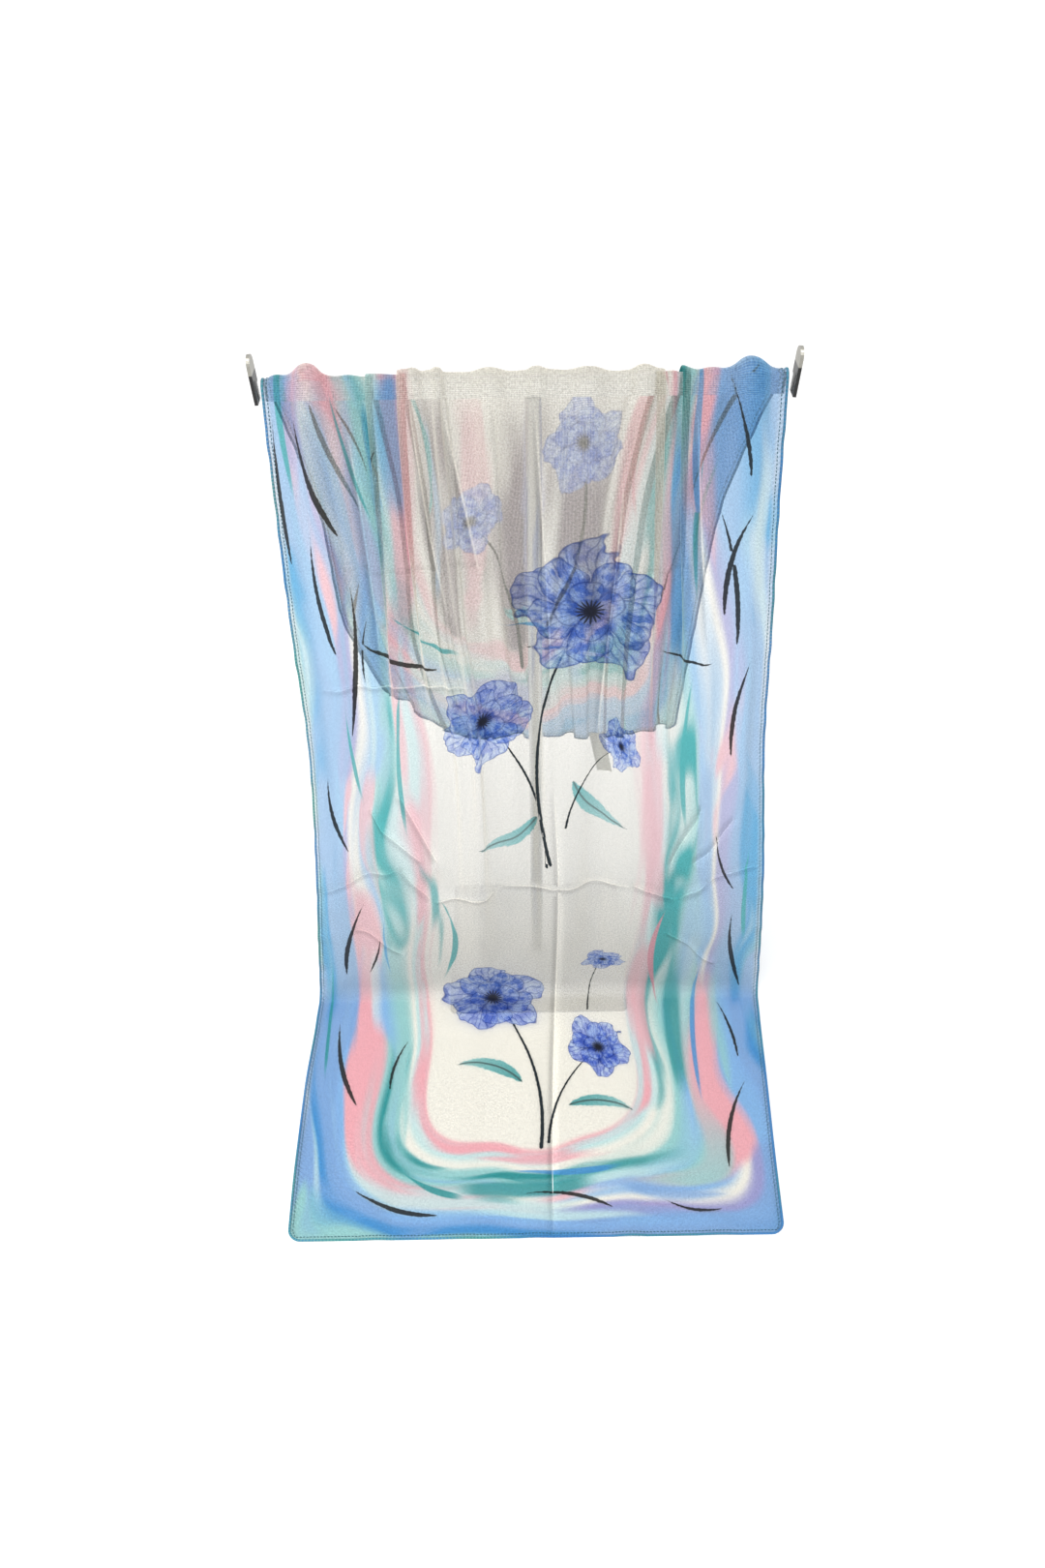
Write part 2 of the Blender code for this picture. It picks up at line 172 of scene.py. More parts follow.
# The path of the cloth from the back hem to the front hem: y and z of the path, x of the two selvages,
# how deep the folds of the bar still are, and how strong the small ripples are beside them.
CLOTH_ABOVE_BAR = BAR_TOP + 0.0013
Station = namedtuple("Station", "name y z left right fold wave")
PATH = (
    Station("back hem", 0.0240, 0.2950, -0.150, 0.146, 0.75, 1.00),
    Station("back, low", 0.0225, 0.3450, -0.168, 0.150, 0.78, 0.90),
    Station("back, middle", 0.0200, 0.4300, -0.188, 0.157, 0.85, 0.70),
    Station("back, upper", 0.0170, 0.5650, -0.195, 0.170, 0.95, 0.40),
    Station("back, under the bar", 0.0130, 0.6600, -0.215, 0.196, 1.00, 0.20),
    Station("back of the bar", 0.0085, 0.7000, -0.225, 0.210, 1.00, 0.10),
    Station("back shoulder", 0.0050, CLOTH_ABOVE_BAR - 0.0030, -0.2265, 0.2125, 1.00, 0.10),
    Station("top of the bar", 0.0000, CLOTH_ABOVE_BAR, -0.2275, 0.2135, 1.00, 0.10),
    Station("front shoulder", -0.0050, CLOTH_ABOVE_BAR - 0.0030, -0.2275, 0.2135, 1.00, 0.10),
    Station("front of the bar", -0.0090, 0.7000, -0.2275, 0.2135, 1.00, 0.10),
    Station("below the bar", -0.0120, 0.6730, -0.2280, 0.2140, 0.95, 0.15),
    Station("upper front", -0.0200, 0.5880, -0.2280, 0.2165, 0.80, 0.30),
    Station("middle front", -0.0330, 0.4700, -0.2270, 0.2210, 0.60, 0.50),
    Station("lower front", -0.0480, 0.3600, -0.2240, 0.2240, 0.40, 0.70),
    Station("waist", -0.0630, 0.2600, -0.2270, 0.2310, 0.22, 0.85),
    Station("crease", -0.0740, 0.1900, -0.2310, 0.2360, 0.12, 1.00),
    Station("under the crease", -0.0710, 0.1200, -0.2380, 0.2420, 0.06, 1.00),
    Station("above the bend", -0.0650, 0.0500, -0.2450, 0.2480, 0.03, 1.00),
    Station("bend", -0.0690, 0.0140, -0.2480, 0.2500, 0.02, 1.00),
    Station("touch-down", -0.0840, 0.0005, -0.2490, 0.2490, 0.00, 1.00),
    Station("laid, near", -0.1200, 0.0005, -0.2500, 0.2470, 0.00, 1.00),
    Station("laid, middle", -0.2000, 0.0005, -0.2530, 0.2430, 0.00, 1.00),
    Station("laid, far", -0.2900, 0.0005, -0.2525, 0.2380, 0.00, 1.00),
    Station("front hem", -0.3790, 0.0005, -0.2500, 0.2340, 0.00, 1.00),
)

# Knife pleats, where the cloth doubles back under itself: their place on the flat cut, the width that
# each takes, and how far the cloth turns. A pleat with a negative turn steps back instead of forward.
Pleat = namedtuple("Pleat", "name place width turn")
PLEATS = (
    Pleat("outer left pleat", 0.098, 0.0085, 172),
    Pleat("inner left pleat", 0.134, 0.0115, 172),
    Pleat("pale pleat", 0.372, 0.0120, -172),
    Pleat("blue pleat", 0.408, 0.0115, 172),
)
PLEAT_CURL = 0.36  # the share of a pleat's width in each of its two tight curls
PLEATS_AT_HEM = 0.80  # the share of their turn that the pleats still have at the back hem

# Soft folds that hang from the bar: their place on the flat cut, the width that each takes, how far the
# cloth turns out of its plane, how far it leans, and how far the fold has moved across at the waist.
Fold = namedtuple("Fold", "name place width turn lean drift")
FOLDS = (
    Fold("left selvage tuck", 0.012, 0.022, 60, 10, 0.002),
    Fold("left puff", 0.041, 0.040, 62, 0, 0.004),
    Fold("left soft roll", 0.076, 0.026, 34, 8, 0.004),
    Fold("inner ridge", 0.154, 0.019, 78, 8, 0.008),
    Fold("ridge by the slit", 0.178, 0.020, 84, -10, 0.008),
    Fold("left of centre", 0.222, 0.040, 48, 8, 0.004),
    Fold("centre ridge", 0.262, 0.024, 56, 6, 0.002),
    Fold("right of centre", 0.306, 0.044, 46, -8, -0.002),
    Fold("by the pale pleat", 0.350, 0.028, 50, 8, -0.002),
    Fold("in the channel", 0.389, 0.020, 50, 0, -0.002),
    Fold("right soft roll", 0.436, 0.030, 46, -6, -0.004),
    Fold("right puff", 0.472, 0.046, 52, 0, -0.002),
)

# Puffs of air held under the cloth where it comes over the bar, and bulges, pinches and dimples where
# the packing bent it: place and reach across and along the flat cut, and how far the cloth stands off
# there, or is drawn in where that is negative.
Puff = namedtuple("Puff", "name across reach_across along reach_along height")
PUFFS = (
    Puff("left end", 0.041, 0.017, 0.424, 0.030, 0.0075),
    Puff("by the outer left pleat", 0.106, 0.010, 0.424, 0.020, 0.0012),
    Puff("ivory roll", 0.145, 0.010, 0.434, 0.050, 0.0034),
    Puff("inner roll", 0.172, 0.009, 0.438, 0.045, 0.0026),
    Puff("middle, left", 0.222, 0.034, 0.452, 0.018, 0.0040),
    Puff("middle", 0.264, 0.014, 0.446, 0.060, 0.0020),
    Puff("middle, right", 0.312, 0.036, 0.452, 0.018, 0.0036),
    Puff("pale roll", 0.352, 0.014, 0.448, 0.080, 0.0034),
    Puff("by the blue pleat", 0.412, 0.008, 0.428, 0.040, 0.0044),
    Puff("right end", 0.468, 0.017, 0.424, 0.030, 0.0078),
    Puff("left waist", 0.062, 0.030, 0.905, 0.040, 0.0060),
    Puff("left pinch", 0.128, 0.013, 0.958, 0.020, -0.0060),
    Puff("under the left pinch", 0.100, 0.022, 1.010, 0.030, 0.0045),
    Puff("right waist", 0.446, 0.026, 0.896, 0.036, 0.0060),
    Puff("right pinch", 0.402, 0.013, 0.962, 0.020, -0.0060),
    Puff("under the right pinch", 0.440, 0.022, 1.020, 0.034, 0.0050),
    Puff("low dimple", 0.424, 0.012, 1.068, 0.020, -0.0050),
    Puff("back, left", 0.120, 0.030, 0.190, 0.040, 0.0050),
    Puff("back, right", 0.396, 0.028, 0.220, 0.044, -0.0050),
)

# On the bar the cloth's own weight takes this share of the folds' depth away, over this reach
PRESSED = 0.62
PRESSED_REACH = 0.017
HEM_CALM = 0.5  # the firm back hem holds the folds above it this much flatter

# Small ripples of three lengths on the flat cut, each with its share, its phase and its slant along
# the cloth. Where the cloth is laid out they are weaker, and the lowest 1.6 mm of them lies flat.
RIPPLE_LENGTHS = (0.087, 0.051, 0.0365)
RIPPLE_SHARES = (0.55, 0.30, 0.15)
RIPPLE_PHASES = (0.7, 2.1, 0.4)
RIPPLE_DRIFT = (1.9, -2.6, 3.4)
RIPPLE_TURN = 0.5  # the most that they turn the cloth, in radians
LAID_FLAT_BELOW = 0.0016
LAID_MOST = 0.30

# The corners of the back hem are drawn up by the narrow folds above them, the left one much further,
# over this reach across the cloth and up to this height
LEFT_CORNER_LIFT = 0.060
RIGHT_CORNER_LIFT = 0.012
CORNER_REACH = 0.150
CORNER_LIFT_TOP = 0.560

# The laid end rides over the base plate. It keeps its lift until this far past the plate's edge and
# comes down over this run. The lift is the plate's height and a little, and fades out up to this height.
RIDE_CLEAR = 0.006
RIDE_RUN = 0.030
RIDE_HEIGHT = BASE_TOP + 0.0003
RIDE_FADE_HEIGHT = 0.060

# The selvages wave a little, more than the cloth beside them: length and height of each wave
SELVAGE_WAVES = ((0.043, 0.0011), (0.0265, 0.0006))
SELVAGE_PHASES = (1.0, 2.7)
SELVAGE_REACH = 0.010

# Creases from the packing, as lines on the flat cut (across, along): ridges, or troughs where the height
# is negative. The material paints the sharp crest of each as a highlight, and a shade on one of its sides.
# Each fades in and out over these shares of its line, and falls off to its sides over this share of its
# width.
Crease = namedtuple("Crease", "name start end height width")
CREASES = (
    Crease("middle, laid end", (0.271, 0.830), (0.268, 1.445), 0.0010, 0.012),
    Crease("left of the waist", (0.004, 0.962), (0.094, 0.930), 0.0034, 0.013),
    Crease("left pinch, down", (0.094, 0.930), (0.128, 0.985), 0.0040, 0.011),
    Crease("left pinch, up", (0.128, 0.985), (0.200, 0.963), -0.0030, 0.014),
    Crease("middle of the waist", (0.205, 0.960), (0.352, 0.952), 0.0014, 0.013),
    Crease("right pinch, down", (0.352, 0.950), (0.405, 0.990), 0.0034, 0.012),
    Crease("right pinch, up", (0.405, 0.990), (0.440, 0.944), 0.0040, 0.011),
    Crease("right of the waist", (0.440, 0.944), (0.496, 0.936), 0.0032, 0.012),
    Crease("above the waist, left", (0.096, 0.842), (0.134, 0.930), 0.0034, 0.018),
    Crease("fan, left", (0.060, 0.860), (0.118, 0.925), -0.0026, 0.016),
    Crease("above the waist, right", (0.432, 0.854), (0.396, 0.935), 0.0034, 0.018),
    Crease("fan, right", (0.468, 0.868), (0.420, 0.930), -0.0026, 0.016),
    Crease("low dimple", (0.392, 1.036), (0.452, 1.094), -0.0034, 0.018),
    Crease("low left", (0.040, 1.030), (0.096, 1.072), 0.0024, 0.018),
    Crease("by the inner ridge", (0.150, 0.445), (0.168, 0.640), 0.0012, 0.010),
    Crease("by the slit", (0.186, 0.450), (0.204, 0.600), 0.0012, 0.010),
    Crease("centre ridge", (0.261, 0.445), (0.271, 0.740), 0.0012, 0.010),
    Crease("right of centre", (0.334, 0.520), (0.318, 0.780), 0.0010, 0.012),
    Crease("by the blue pleat", (0.424, 0.455), (0.436, 0.680), 0.0012, 0.010),
    Crease("left soft roll", (0.074, 0.470), (0.088, 0.690), 0.0012, 0.012),
    Crease("back, by the middle", (0.236, 0.160), (0.226, 0.380), 0.0012, 0.012),
    Crease("back, right", (0.350, 0.120), (0.362, 0.370), 0.0012, 0.012),
    Crease("middle, back", (0.262, 0.010), (0.266, 0.330), 0.0012, 0.012),
    Crease("across the back, left", (0.010, 0.205), (0.235, 0.214), 0.0022, 0.013),
    Crease("across the back, right", (0.290, 0.210), (0.490, 0.198), -0.0024, 0.014),
    Crease("across the front, high", (0.020, 0.722), (0.180, 0.716), 0.0012, 0.013),
)
CREASE_FADE_IN = (-0.05, 0.10)
CREASE_FADE_OUT = (0.90, 1.05)
CREASE_FALL_OFF = 0.4

# The soft folds are scaled until a section is as wide as the path says: by this much at most, and by
# this much at least, from the back hem to this distance along the cloth. From there the least falls to
# nothing at the waist, so the folds can open out.
MOST_FOLDING = 3.0
LEAST_FOLDING = 0.9
FOLDED_TO = 0.60

# How finely the cloth is worked out: the rows and columns of its mesh, and the steps of the sums. Rows
# lie closer where the path bends, and columns where a pleat curls, by these weights.
COLUMNS = 250
ROWS = 330
CORNER_ROWS = 9
SECTION_STEPS = 1600
SOLVE_STEPS = 26
SPREAD_STEPS = 4000
PATH_STEP = 0.0004
BEND_WEIGHT = 0.14
SHARPEST_BEND = 120.0
CURL_WEIGHT = 5.0
CURL_REACH = 0.0026


def smooth_step(value, start, end):
    """A smooth rise from 0 at the start to 1 at the end."""
    t = np.clip((np.asarray(value, float) - start) / (end - start), 0.0, 1.0)
    return t * t * (3.0 - 2.0 * t)


def smooth_curve(knots, values, at):
    """Reads a smooth curve through (knots, values) that never overshoots them."""
    knots, values = np.asarray(knots, float), np.asarray(values, float)
    steps = np.diff(knots)
    rises = np.diff(values) / steps
    slopes = np.empty(len(values))
    slopes[0], slopes[-1] = rises[0], rises[-1]
    for k in range(1, len(values) - 1):
        before, after = rises[k - 1], rises[k]
        near, far = 2 * steps[k] + steps[k - 1], steps[k] + 2 * steps[k - 1]
        slopes[k] = 0.0 if before * after <= 0 else (near + far) / (near / before + far / after)
    at = np.clip(at, knots[0], knots[-1])
    k = np.clip(np.searchsorted(knots, at, side="right") - 1, 0, len(knots) - 2)
    t = (at - knots[k]) / steps[k]
    return (
        values[k] * (1 + 2 * t) * (1 - t) ** 2
        + slopes[k] * steps[k] * t * (1 - t) ** 2
        + values[k + 1] * t * t * (3 - 2 * t)
        + slopes[k + 1] * steps[k] * t * t * (t - 1)
    )


stations = np.array([(row.y, row.z) for row in PATH])
DISTANCES = np.concatenate([[0.0], np.cumsum(np.linalg.norm(np.diff(stations, axis=0), axis=1))])
DISTANCE_OF = {row.name: DISTANCES[k] for k, row in enumerate(PATH)}
LENGTH = DISTANCES[-1]


def column(name, at):
    """A column of the path's table, at a distance along the cloth."""
    return smooth_curve(DISTANCES, [getattr(row, name) for row in PATH], at)


def path_frame(at):
    """The path's point, and its outward normal, as (y, z) pairs."""
    low, high = max(at - PATH_STEP, 0.0), min(at + PATH_STEP, LENGTH)
    along = np.array([column("y", high) - column("y", low), column("z", high) - column("z", low)])
    along = along / np.linalg.norm(along)
    return np.array([column("y", at), column("z", at)]), np.array([along[1], -along[0]])


def pleat_turn(u, at):
    """How far the cloth turns in its knife pleats, which open out towards the waist."""
    held = 1.0 - smooth_step(at, DISTANCE_OF["below the bar"], DISTANCE_OF["waist"])
    hung = smooth_step(at, 0.0, DISTANCE_OF["back, under the bar"])
    held = held * (PLEATS_AT_HEM + (1.0 - PLEATS_AT_HEM) * hung)
    angle = np.zeros_like(u)
    for pleat in PLEATS:
        t = (u - pleat.place) / pleat.width + 0.5
        flat = smooth_step(t, 0.0, PLEAT_CURL) * (1.0 - smooth_step(t, 1.0 - PLEAT_CURL, 1.0))
        angle = angle + math.radians(pleat.turn) * flat * float(held)
    return angle


def soft_turn(u, at):
    """How far the cloth turns in its soft folds and ripples, before they are scaled to the width."""
    moved = float(smooth_step(at, DISTANCE_OF["front of the bar"], DISTANCE_OF["waist"]))
    angle = np.zeros_like(u)
    for fold in FOLDS:
        t = (u - fold.place - fold.drift * moved) / fold.width + 0.5
        ridge = math.radians(fold.turn) * np.sin(2 * math.pi * t)
        ridge = ridge + math.radians(fold.lean) * np.sin(math.pi * t) ** 2
        angle = angle + np.where((t > 0) & (t < 1), ridge, 0.0) * column("fold", at)
    for length, share, phase, drift in zip(RIPPLE_LENGTHS, RIPPLE_SHARES, RIPPLE_PHASES, RIPPLE_DRIFT):
        wave = np.sin(2 * math.pi * u / length + phase + drift * at)
        angle = angle + column("wave", at) * share * RIPPLE_TURN * wave
    return angle


def section(at):
    """x across, and depth out of the plane, of a section as long as the cut is wide."""
    u = np.linspace(0.0, CUT_WIDTH, SECTION_STEPS + 1)
    middle = 0.5 * (u[1:] + u[:-1])
    step = CUT_WIDTH / SECTION_STEPS
    pleated, soft = pleat_turn(middle, at), soft_turn(middle, at)
    left, right = float(column("left", at)), float(column("right", at))
    laid = float(smooth_step(at, DISTANCE_OF["above the bend"], DISTANCE_OF["laid, near"]))
    low = LEAST_FOLDING * (1.0 - float(smooth_step(at, FOLDED_TO, DISTANCE_OF["waist"])))
    high = MOST_FOLDING * (1 - laid) + LAID_MOST * laid
    for _ in range(SOLVE_STEPS):
        strength = 0.5 * (low + high)
        if np.sum(np.cos(pleated + soft * strength)) * step > right - left:
            low = strength
        else:
            high = strength
    angle = pleated + soft * strength
    x = np.concatenate([[0.0], np.cumsum(np.cos(angle)) * step])
    depth = np.concatenate([[0.0], np.cumsum(np.sin(angle)) * step])
    depth = depth - depth[-1] * u / CUT_WIDTH
    return u, left + x * (right - left) / x[-1], depth - depth.min()


def ride_over_base(x, y):
    """How much of the base plate's height the cloth takes at a place on the surface."""
    edge = BASE_HALF + RIDE_CLEAR
    beside = 1.0 - smooth_step(np.abs(x), edge, edge + RIDE_RUN)
    before = 1.0 - smooth_step(-np.asarray(y), edge, edge + RIDE_RUN)
    return beside * before


def cloth_row(at, places):
    """World points of one row across the cloth, at a distance along it."""
    u, x, depth = section(at)
    laid = float(smooth_step(at, DISTANCE_OF["above the bend"], DISTANCE_OF["touch-down"]))
    depth = depth * (1 - laid) + np.maximum(depth - LAID_FLAT_BELOW, 0.0) * laid
    point, normal = path_frame(at)
    x_at = np.interp(places, u, x)
    depth_at = np.interp(places, u, depth)
    calmed = HEM_CALM * (1 - float(smooth_step(at, 0.0, DISTANCE_OF["back, middle"])))
    from_bar = (at - DISTANCE_OF["top of the bar"]) / PRESSED_REACH
    pressed = PRESSED * math.exp(-(from_bar**2))
    depth_at = depth_at * (1 - calmed) * (1 - pressed)
    for puff in PUFFS:
        near = ((places - puff.across) / puff.reach_across) ** 2 + ((at - puff.along) / puff.reach_along) ** 2
        depth_at = depth_at + puff.height * np.exp(-near)
    for length, height in SELVAGE_WAVES:
        for phase, inwards in zip(SELVAGE_PHASES, (places, CUT_WIDTH - places)):
            wave = math.sin(2 * math.pi * at / length + phase) * np.exp(-inwards / SELVAGE_REACH)
            depth_at = depth_at + height * (1 - laid) * wave
    y = point[0] + normal[0] * depth_at
    z = point[1] + normal[1] * depth_at
    if at < DISTANCE_OF["back, under the bar"]:
        left_share = 1.0 - smooth_step(places, 0.0, CORNER_REACH)
        right_share = smooth_step(places, CUT_WIDTH - CORNER_REACH, CUT_WIDTH)
        low_share = 1.0 - smooth_step(point[1], PATH[0].z, CORNER_LIFT_TOP)
        z = z + (LEFT_CORNER_LIFT * left_share + RIGHT_CORNER_LIFT * right_share) * low_share
    if at > DISTANCE_OF["waist"]:
        near_base = 1.0 - smooth_step(point[1], 0.0, RIDE_FADE_HEIGHT)
        z = z + RIDE_HEIGHT * ride_over_base(x_at, y) * near_base
    return np.stack([x_at, y, z], axis=1)


def spread(start, end, count, weight_at):
    """Places from start to end that lie closer together where weight_at is larger."""
    fine = np.linspace(start, end, SPREAD_STEPS)
    effort = np.concatenate([[0.0], np.cumsum(np.diff(fine) * weight_at(0.5 * (fine[1:] + fine[:-1])))])
    return np.interp(np.linspace(0.0, effort[-1], count), effort, fine)


def pleat_weight(u):
    """How close the columns lie at a place across the cut."""
    weight = np.ones_like(u)
    for pleat in PLEATS:
        for side in (-1, 1):
            curl = pleat.place + side * pleat.width * (1 - PLEAT_CURL) / 2
            weight = weight + CURL_WEIGHT * np.exp(-(((u - curl) / CURL_REACH) ** 2))
    return weight


def bend_weight(at):
    """How close the rows lie at a place along the cloth."""
    normals = np.array([path_frame(a)[1] for a in at])
    turning = np.linalg.norm(np.gradient(normals, axis=0), axis=1) / np.gradient(at)
    return 1.0 + BEND_WEIGHT * np.minimum(turning, SHARPEST_BEND)


# Rows and columns of the cloth. The rows by each hem are shorter, to round the cut's corners.
corner_turns = np.linspace(0.0, math.pi / 2, CORNER_ROWS)
corner_rows = CORNER_RADIUS * (1 - np.cos(corner_turns))
long_rows = spread(CORNER_RADIUS, LENGTH - CORNER_RADIUS, ROWS, bend_weight)
row_places = np.concatenate([corner_rows[:-1], long_rows, LENGTH - corner_rows[:-1][::-1]])
from_hem = np.minimum(row_places, LENGTH - row_places)
row_inset = CORNER_RADIUS - np.sqrt(
    np.maximum(CORNER_RADIUS**2 - np.maximum(CORNER_RADIUS - from_hem, 0.0) ** 2, 0.0)
)
column_places = spread(0.0, CUT_WIDTH, COLUMNS, pleat_weight)
across = np.array([i + column_places * (CUT_WIDTH - 2 * i) / CUT_WIDTH for i in row_inset])
along = np.repeat(row_places[:, None], COLUMNS, axis=1)
cloth = np.array([cloth_row(at, places) for at, places in zip(row_places, across)])


def grid_normals(grid):
    """Outward normals of a grid of points, rows running along the cloth."""
    normals = np.cross(np.gradient(grid, axis=0), np.gradient(grid, axis=1))
    return -normals / np.maximum(np.linalg.norm(normals, axis=2, keepdims=True), 1e-9)


LINE_PIECES = 24  # straight pieces in a bowed line
ENDLESS = 1e9


def line_places(points_u, points_v, start, end, bend=0.0):
    """Share along, and signed distance across, a bowed line on the cut, for points on the cut. Past
    its ends the line goes straight on."""
    start, end = np.array(start), np.array(end)
    reach = end - start
    sideways = np.array([-reach[1], reach[0]])
    shares = np.linspace(0.0, 1.0, LINE_PIECES + 1)
    line = start + reach * shares[:, None] + sideways * (4 * bend * shares * (1 - shares))[:, None]
    best = np.full(points_u.shape, np.inf)
    share, offset = np.zeros(points_u.shape), np.full(points_u.shape, 1.0)
    for k in range(LINE_PIECES):
        piece = line[k + 1] - line[k]
        size = np.linalg.norm(piece)
        du, dv = points_u - line[k][0], points_v - line[k][1]
        t = (du * piece[0] + dv * piece[1]) / size**2
        held = np.clip(t, -ENDLESS if k == 0 else 0.0, ENDLESS if k == LINE_PIECES - 1 else 1.0)
        gap = np.hypot(du - held * piece[0], dv - held * piece[1])
        side = np.sign(piece[0] * dv - piece[1] * du)
        closer = gap < best
        best = np.where(closer, gap, best)
        share = np.where(closer, (k + held) / LINE_PIECES, share)
        offset = np.where(closer, gap * side, offset)
    return share, offset


# The creases lift the cloth by a little along its normal
lift = np.zeros(across.shape)
for crease in CREASES:
    share, offset = line_places(across, along, crease.start, crease.end)
    ends = smooth_step(share, *CREASE_FADE_IN) * (1 - smooth_step(share, *CREASE_FADE_OUT))
    lift = lift + crease.height * ends * np.exp(-np.abs(offset) / (crease.width * CREASE_FALL_OFF))
laid_share = smooth_step(along, DISTANCE_OF["above the bend"], DISTANCE_OF["touch-down"])
lift = np.where(lift < 0, lift * (1 - laid_share), lift)
cloth = cloth + grid_normals(cloth) * lift[:, :, None]


def link_new(name, data):
    """A new object in the scene, for a mesh, a lamp or a camera."""
    new = bpy.data.objects.new(name, data)
    bpy.context.scene.collection.objects.link(new)
    return new


def add_piece(name, points, faces):
    """A piece with a smooth-shaded mesh."""
    mesh = bpy.data.meshes.new(name)
    mesh.from_pydata(points, [], faces)
    mesh.shade_smooth()
    return link_new(name, mesh)


def grid_piece(name, grid):
    """A piece of quads through a grid of points."""
    rows, columns = grid.shape[:2]
    index = np.arange(rows * columns).reshape(rows, columns)
    faces = np.stack([index[:-1, :-1], index[:-1, 1:], index[1:, 1:], index[1:, :-1]], axis=2)
    return add_piece(name, grid.reshape(-1, 3).tolist(), faces.reshape(-1, 4).tolist())


def corner_values(field):
    """A field of the grid as one value for each corner of each face, face by face."""
    corners = [field[:-1, :-1], field[:-1, 1:], field[1:, 1:], field[1:, :-1]]
    return np.stack(corners, axis=2).reshape(-1, 4)


def set_cut_map(mesh, u, v):
    """Stores each corner's place on the flat cut, in metres, as the UV map that the materials read."""
    layer = mesh.uv_layers.new(name="cut")
    layer.uv.foreach_set("vector", np.stack([u, v], axis=-1).astype(np.float32).ravel())


def set_corner_vectors(mesh, name, vectors):
    """Stores a vector for each corner, for the materials to read."""
    layer = mesh.attributes.new(name, "FLOAT_VECTOR", "CORNER")
    layer.data.foreach_set("vector", vectors.astype(np.float32).ravel())


scarf = grid_piece("scarf", cloth)
corner_u, corner_v = corner_values(across), corner_values(along)
set_cut_map(scarf.data, corner_u, corner_v)

# The printed motifs. A blossom has its centre on the cut, its radius, its turn, its height as a share
# of its width, and a seed for its ruffled petals.
Blossom = namedtuple("Blossom", "name place radius turn tilt seed")
BLOSSOMS = (
    Blossom("high right", (0.306, 0.636), 0.080, 20, 0.84, 1.3),
    Blossom("middle left", (0.196, 0.756), 0.060, -35, 0.74, 4.1),
    Blossom("small", (0.342, 0.786), 0.030, 70, 0.66, 7.7),
    Blossom("laid left", (0.198, 1.148), 0.060, 10, 0.80, 2.6),
    Blossom("laid right", (0.318, 1.216), 0.044, 55, 0.74, 5.9),
    Blossom("laid small", (0.322, 1.090), 0.026, -20, 0.64, 8.8),
    Blossom("back right", (0.312, 0.340), 0.052, 80, 0.78, 3.2),
    Blossom("back left", (0.196, 0.262), 0.044, 40, 0.74, 6.4),
)

# Brush lines that taper: start and end on the cut, bow as a share of the length, half their width, and
# the number of the dye for those that have one of their own. The blades and the firm strokes come back
# once more, one repeat of the print nearer to the back hem.
Line = namedtuple("Line", "start end bend half_width dye", defaults=(0,))
REPEAT = 0.7225
STEMS = (
    Line((0.306, 0.632), (0.262, 0.925), 0.10, 0.0026),
    Line((0.200, 0.752), (0.258, 0.930), -0.09, 0.0022),
    Line((0.342, 0.786), (0.280, 0.880), 0.10, 0.0015),
    Line((0.198, 1.148), (0.256, 1.345), -0.10, 0.0024),
    Line((0.318, 1.216), (0.264, 1.340), 0.10, 0.0019),
    Line((0.322, 1.090), (0.306, 1.170), 0.06, 0.0013),
    Line((0.312, 0.340), (0.286, 0.140), 0.12, 0.0030),
    Line((0.196, 0.262), (0.250, 0.090), 0.10, 0.0026),
)
LEAVES = (
    Line((0.290, 0.822), (0.349, 0.882), 0.14, 0.0095),
    Line((0.250, 0.868), (0.180, 0.905), -0.16, 0.0085),
    Line((0.236, 1.262), (0.160, 1.238), 0.16, 0.0090),
    Line((0.284, 1.292), (0.356, 1.302), -0.15, 0.0080),
    Line((0.230, 0.160), (0.290, 0.120), 0.14, 0.0095),
)
BLADES = (
    Line((0.007, 0.455), (0.010, 0.590), 0.02, 0.0030),
    Line((0.030, 0.560), (0.044, 0.685), 0.05, 0.0026),
    Line((0.062, 0.610), (0.049, 0.775), -0.04, 0.0028),
    Line((0.078, 0.640), (0.070, 0.718), 0.05, 0.0015),
    Line((0.020, 0.815), (0.036, 0.910), 0.07, 0.0022),
    Line((0.052, 0.985), (0.030, 1.110), 0.06, 0.0030),
    Line((0.068, 1.040), (0.056, 1.110), -0.05, 0.0016),
    Line((0.026, 1.175), (0.058, 1.290), 0.06, 0.0029),
    Line((0.108, 1.200), (0.092, 1.272), 0.07, 0.0018),
    Line((0.446, 0.540), (0.464, 0.678), -0.05, 0.0027),
    Line((0.480, 0.690), (0.462, 0.800), 0.06, 0.0024),
    Line((0.446, 0.880), (0.470, 0.965), 0.06, 0.0017),
    Line((0.468, 1.000), (0.480, 1.138), 0.05, 0.0028),
    Line((0.450, 1.150), (0.472, 1.236), -0.06, 0.0019),
    Line((0.478, 1.262), (0.452, 1.372), 0.07, 0.0027),
    Line((0.060, 1.388), (0.150, 1.420), 0.09, 0.0029),
    Line((0.238, 1.398), (0.330, 1.414), -0.09, 0.0024),
    Line((0.380, 1.404), (0.440, 1.418), 0.10, 0.0019),
)

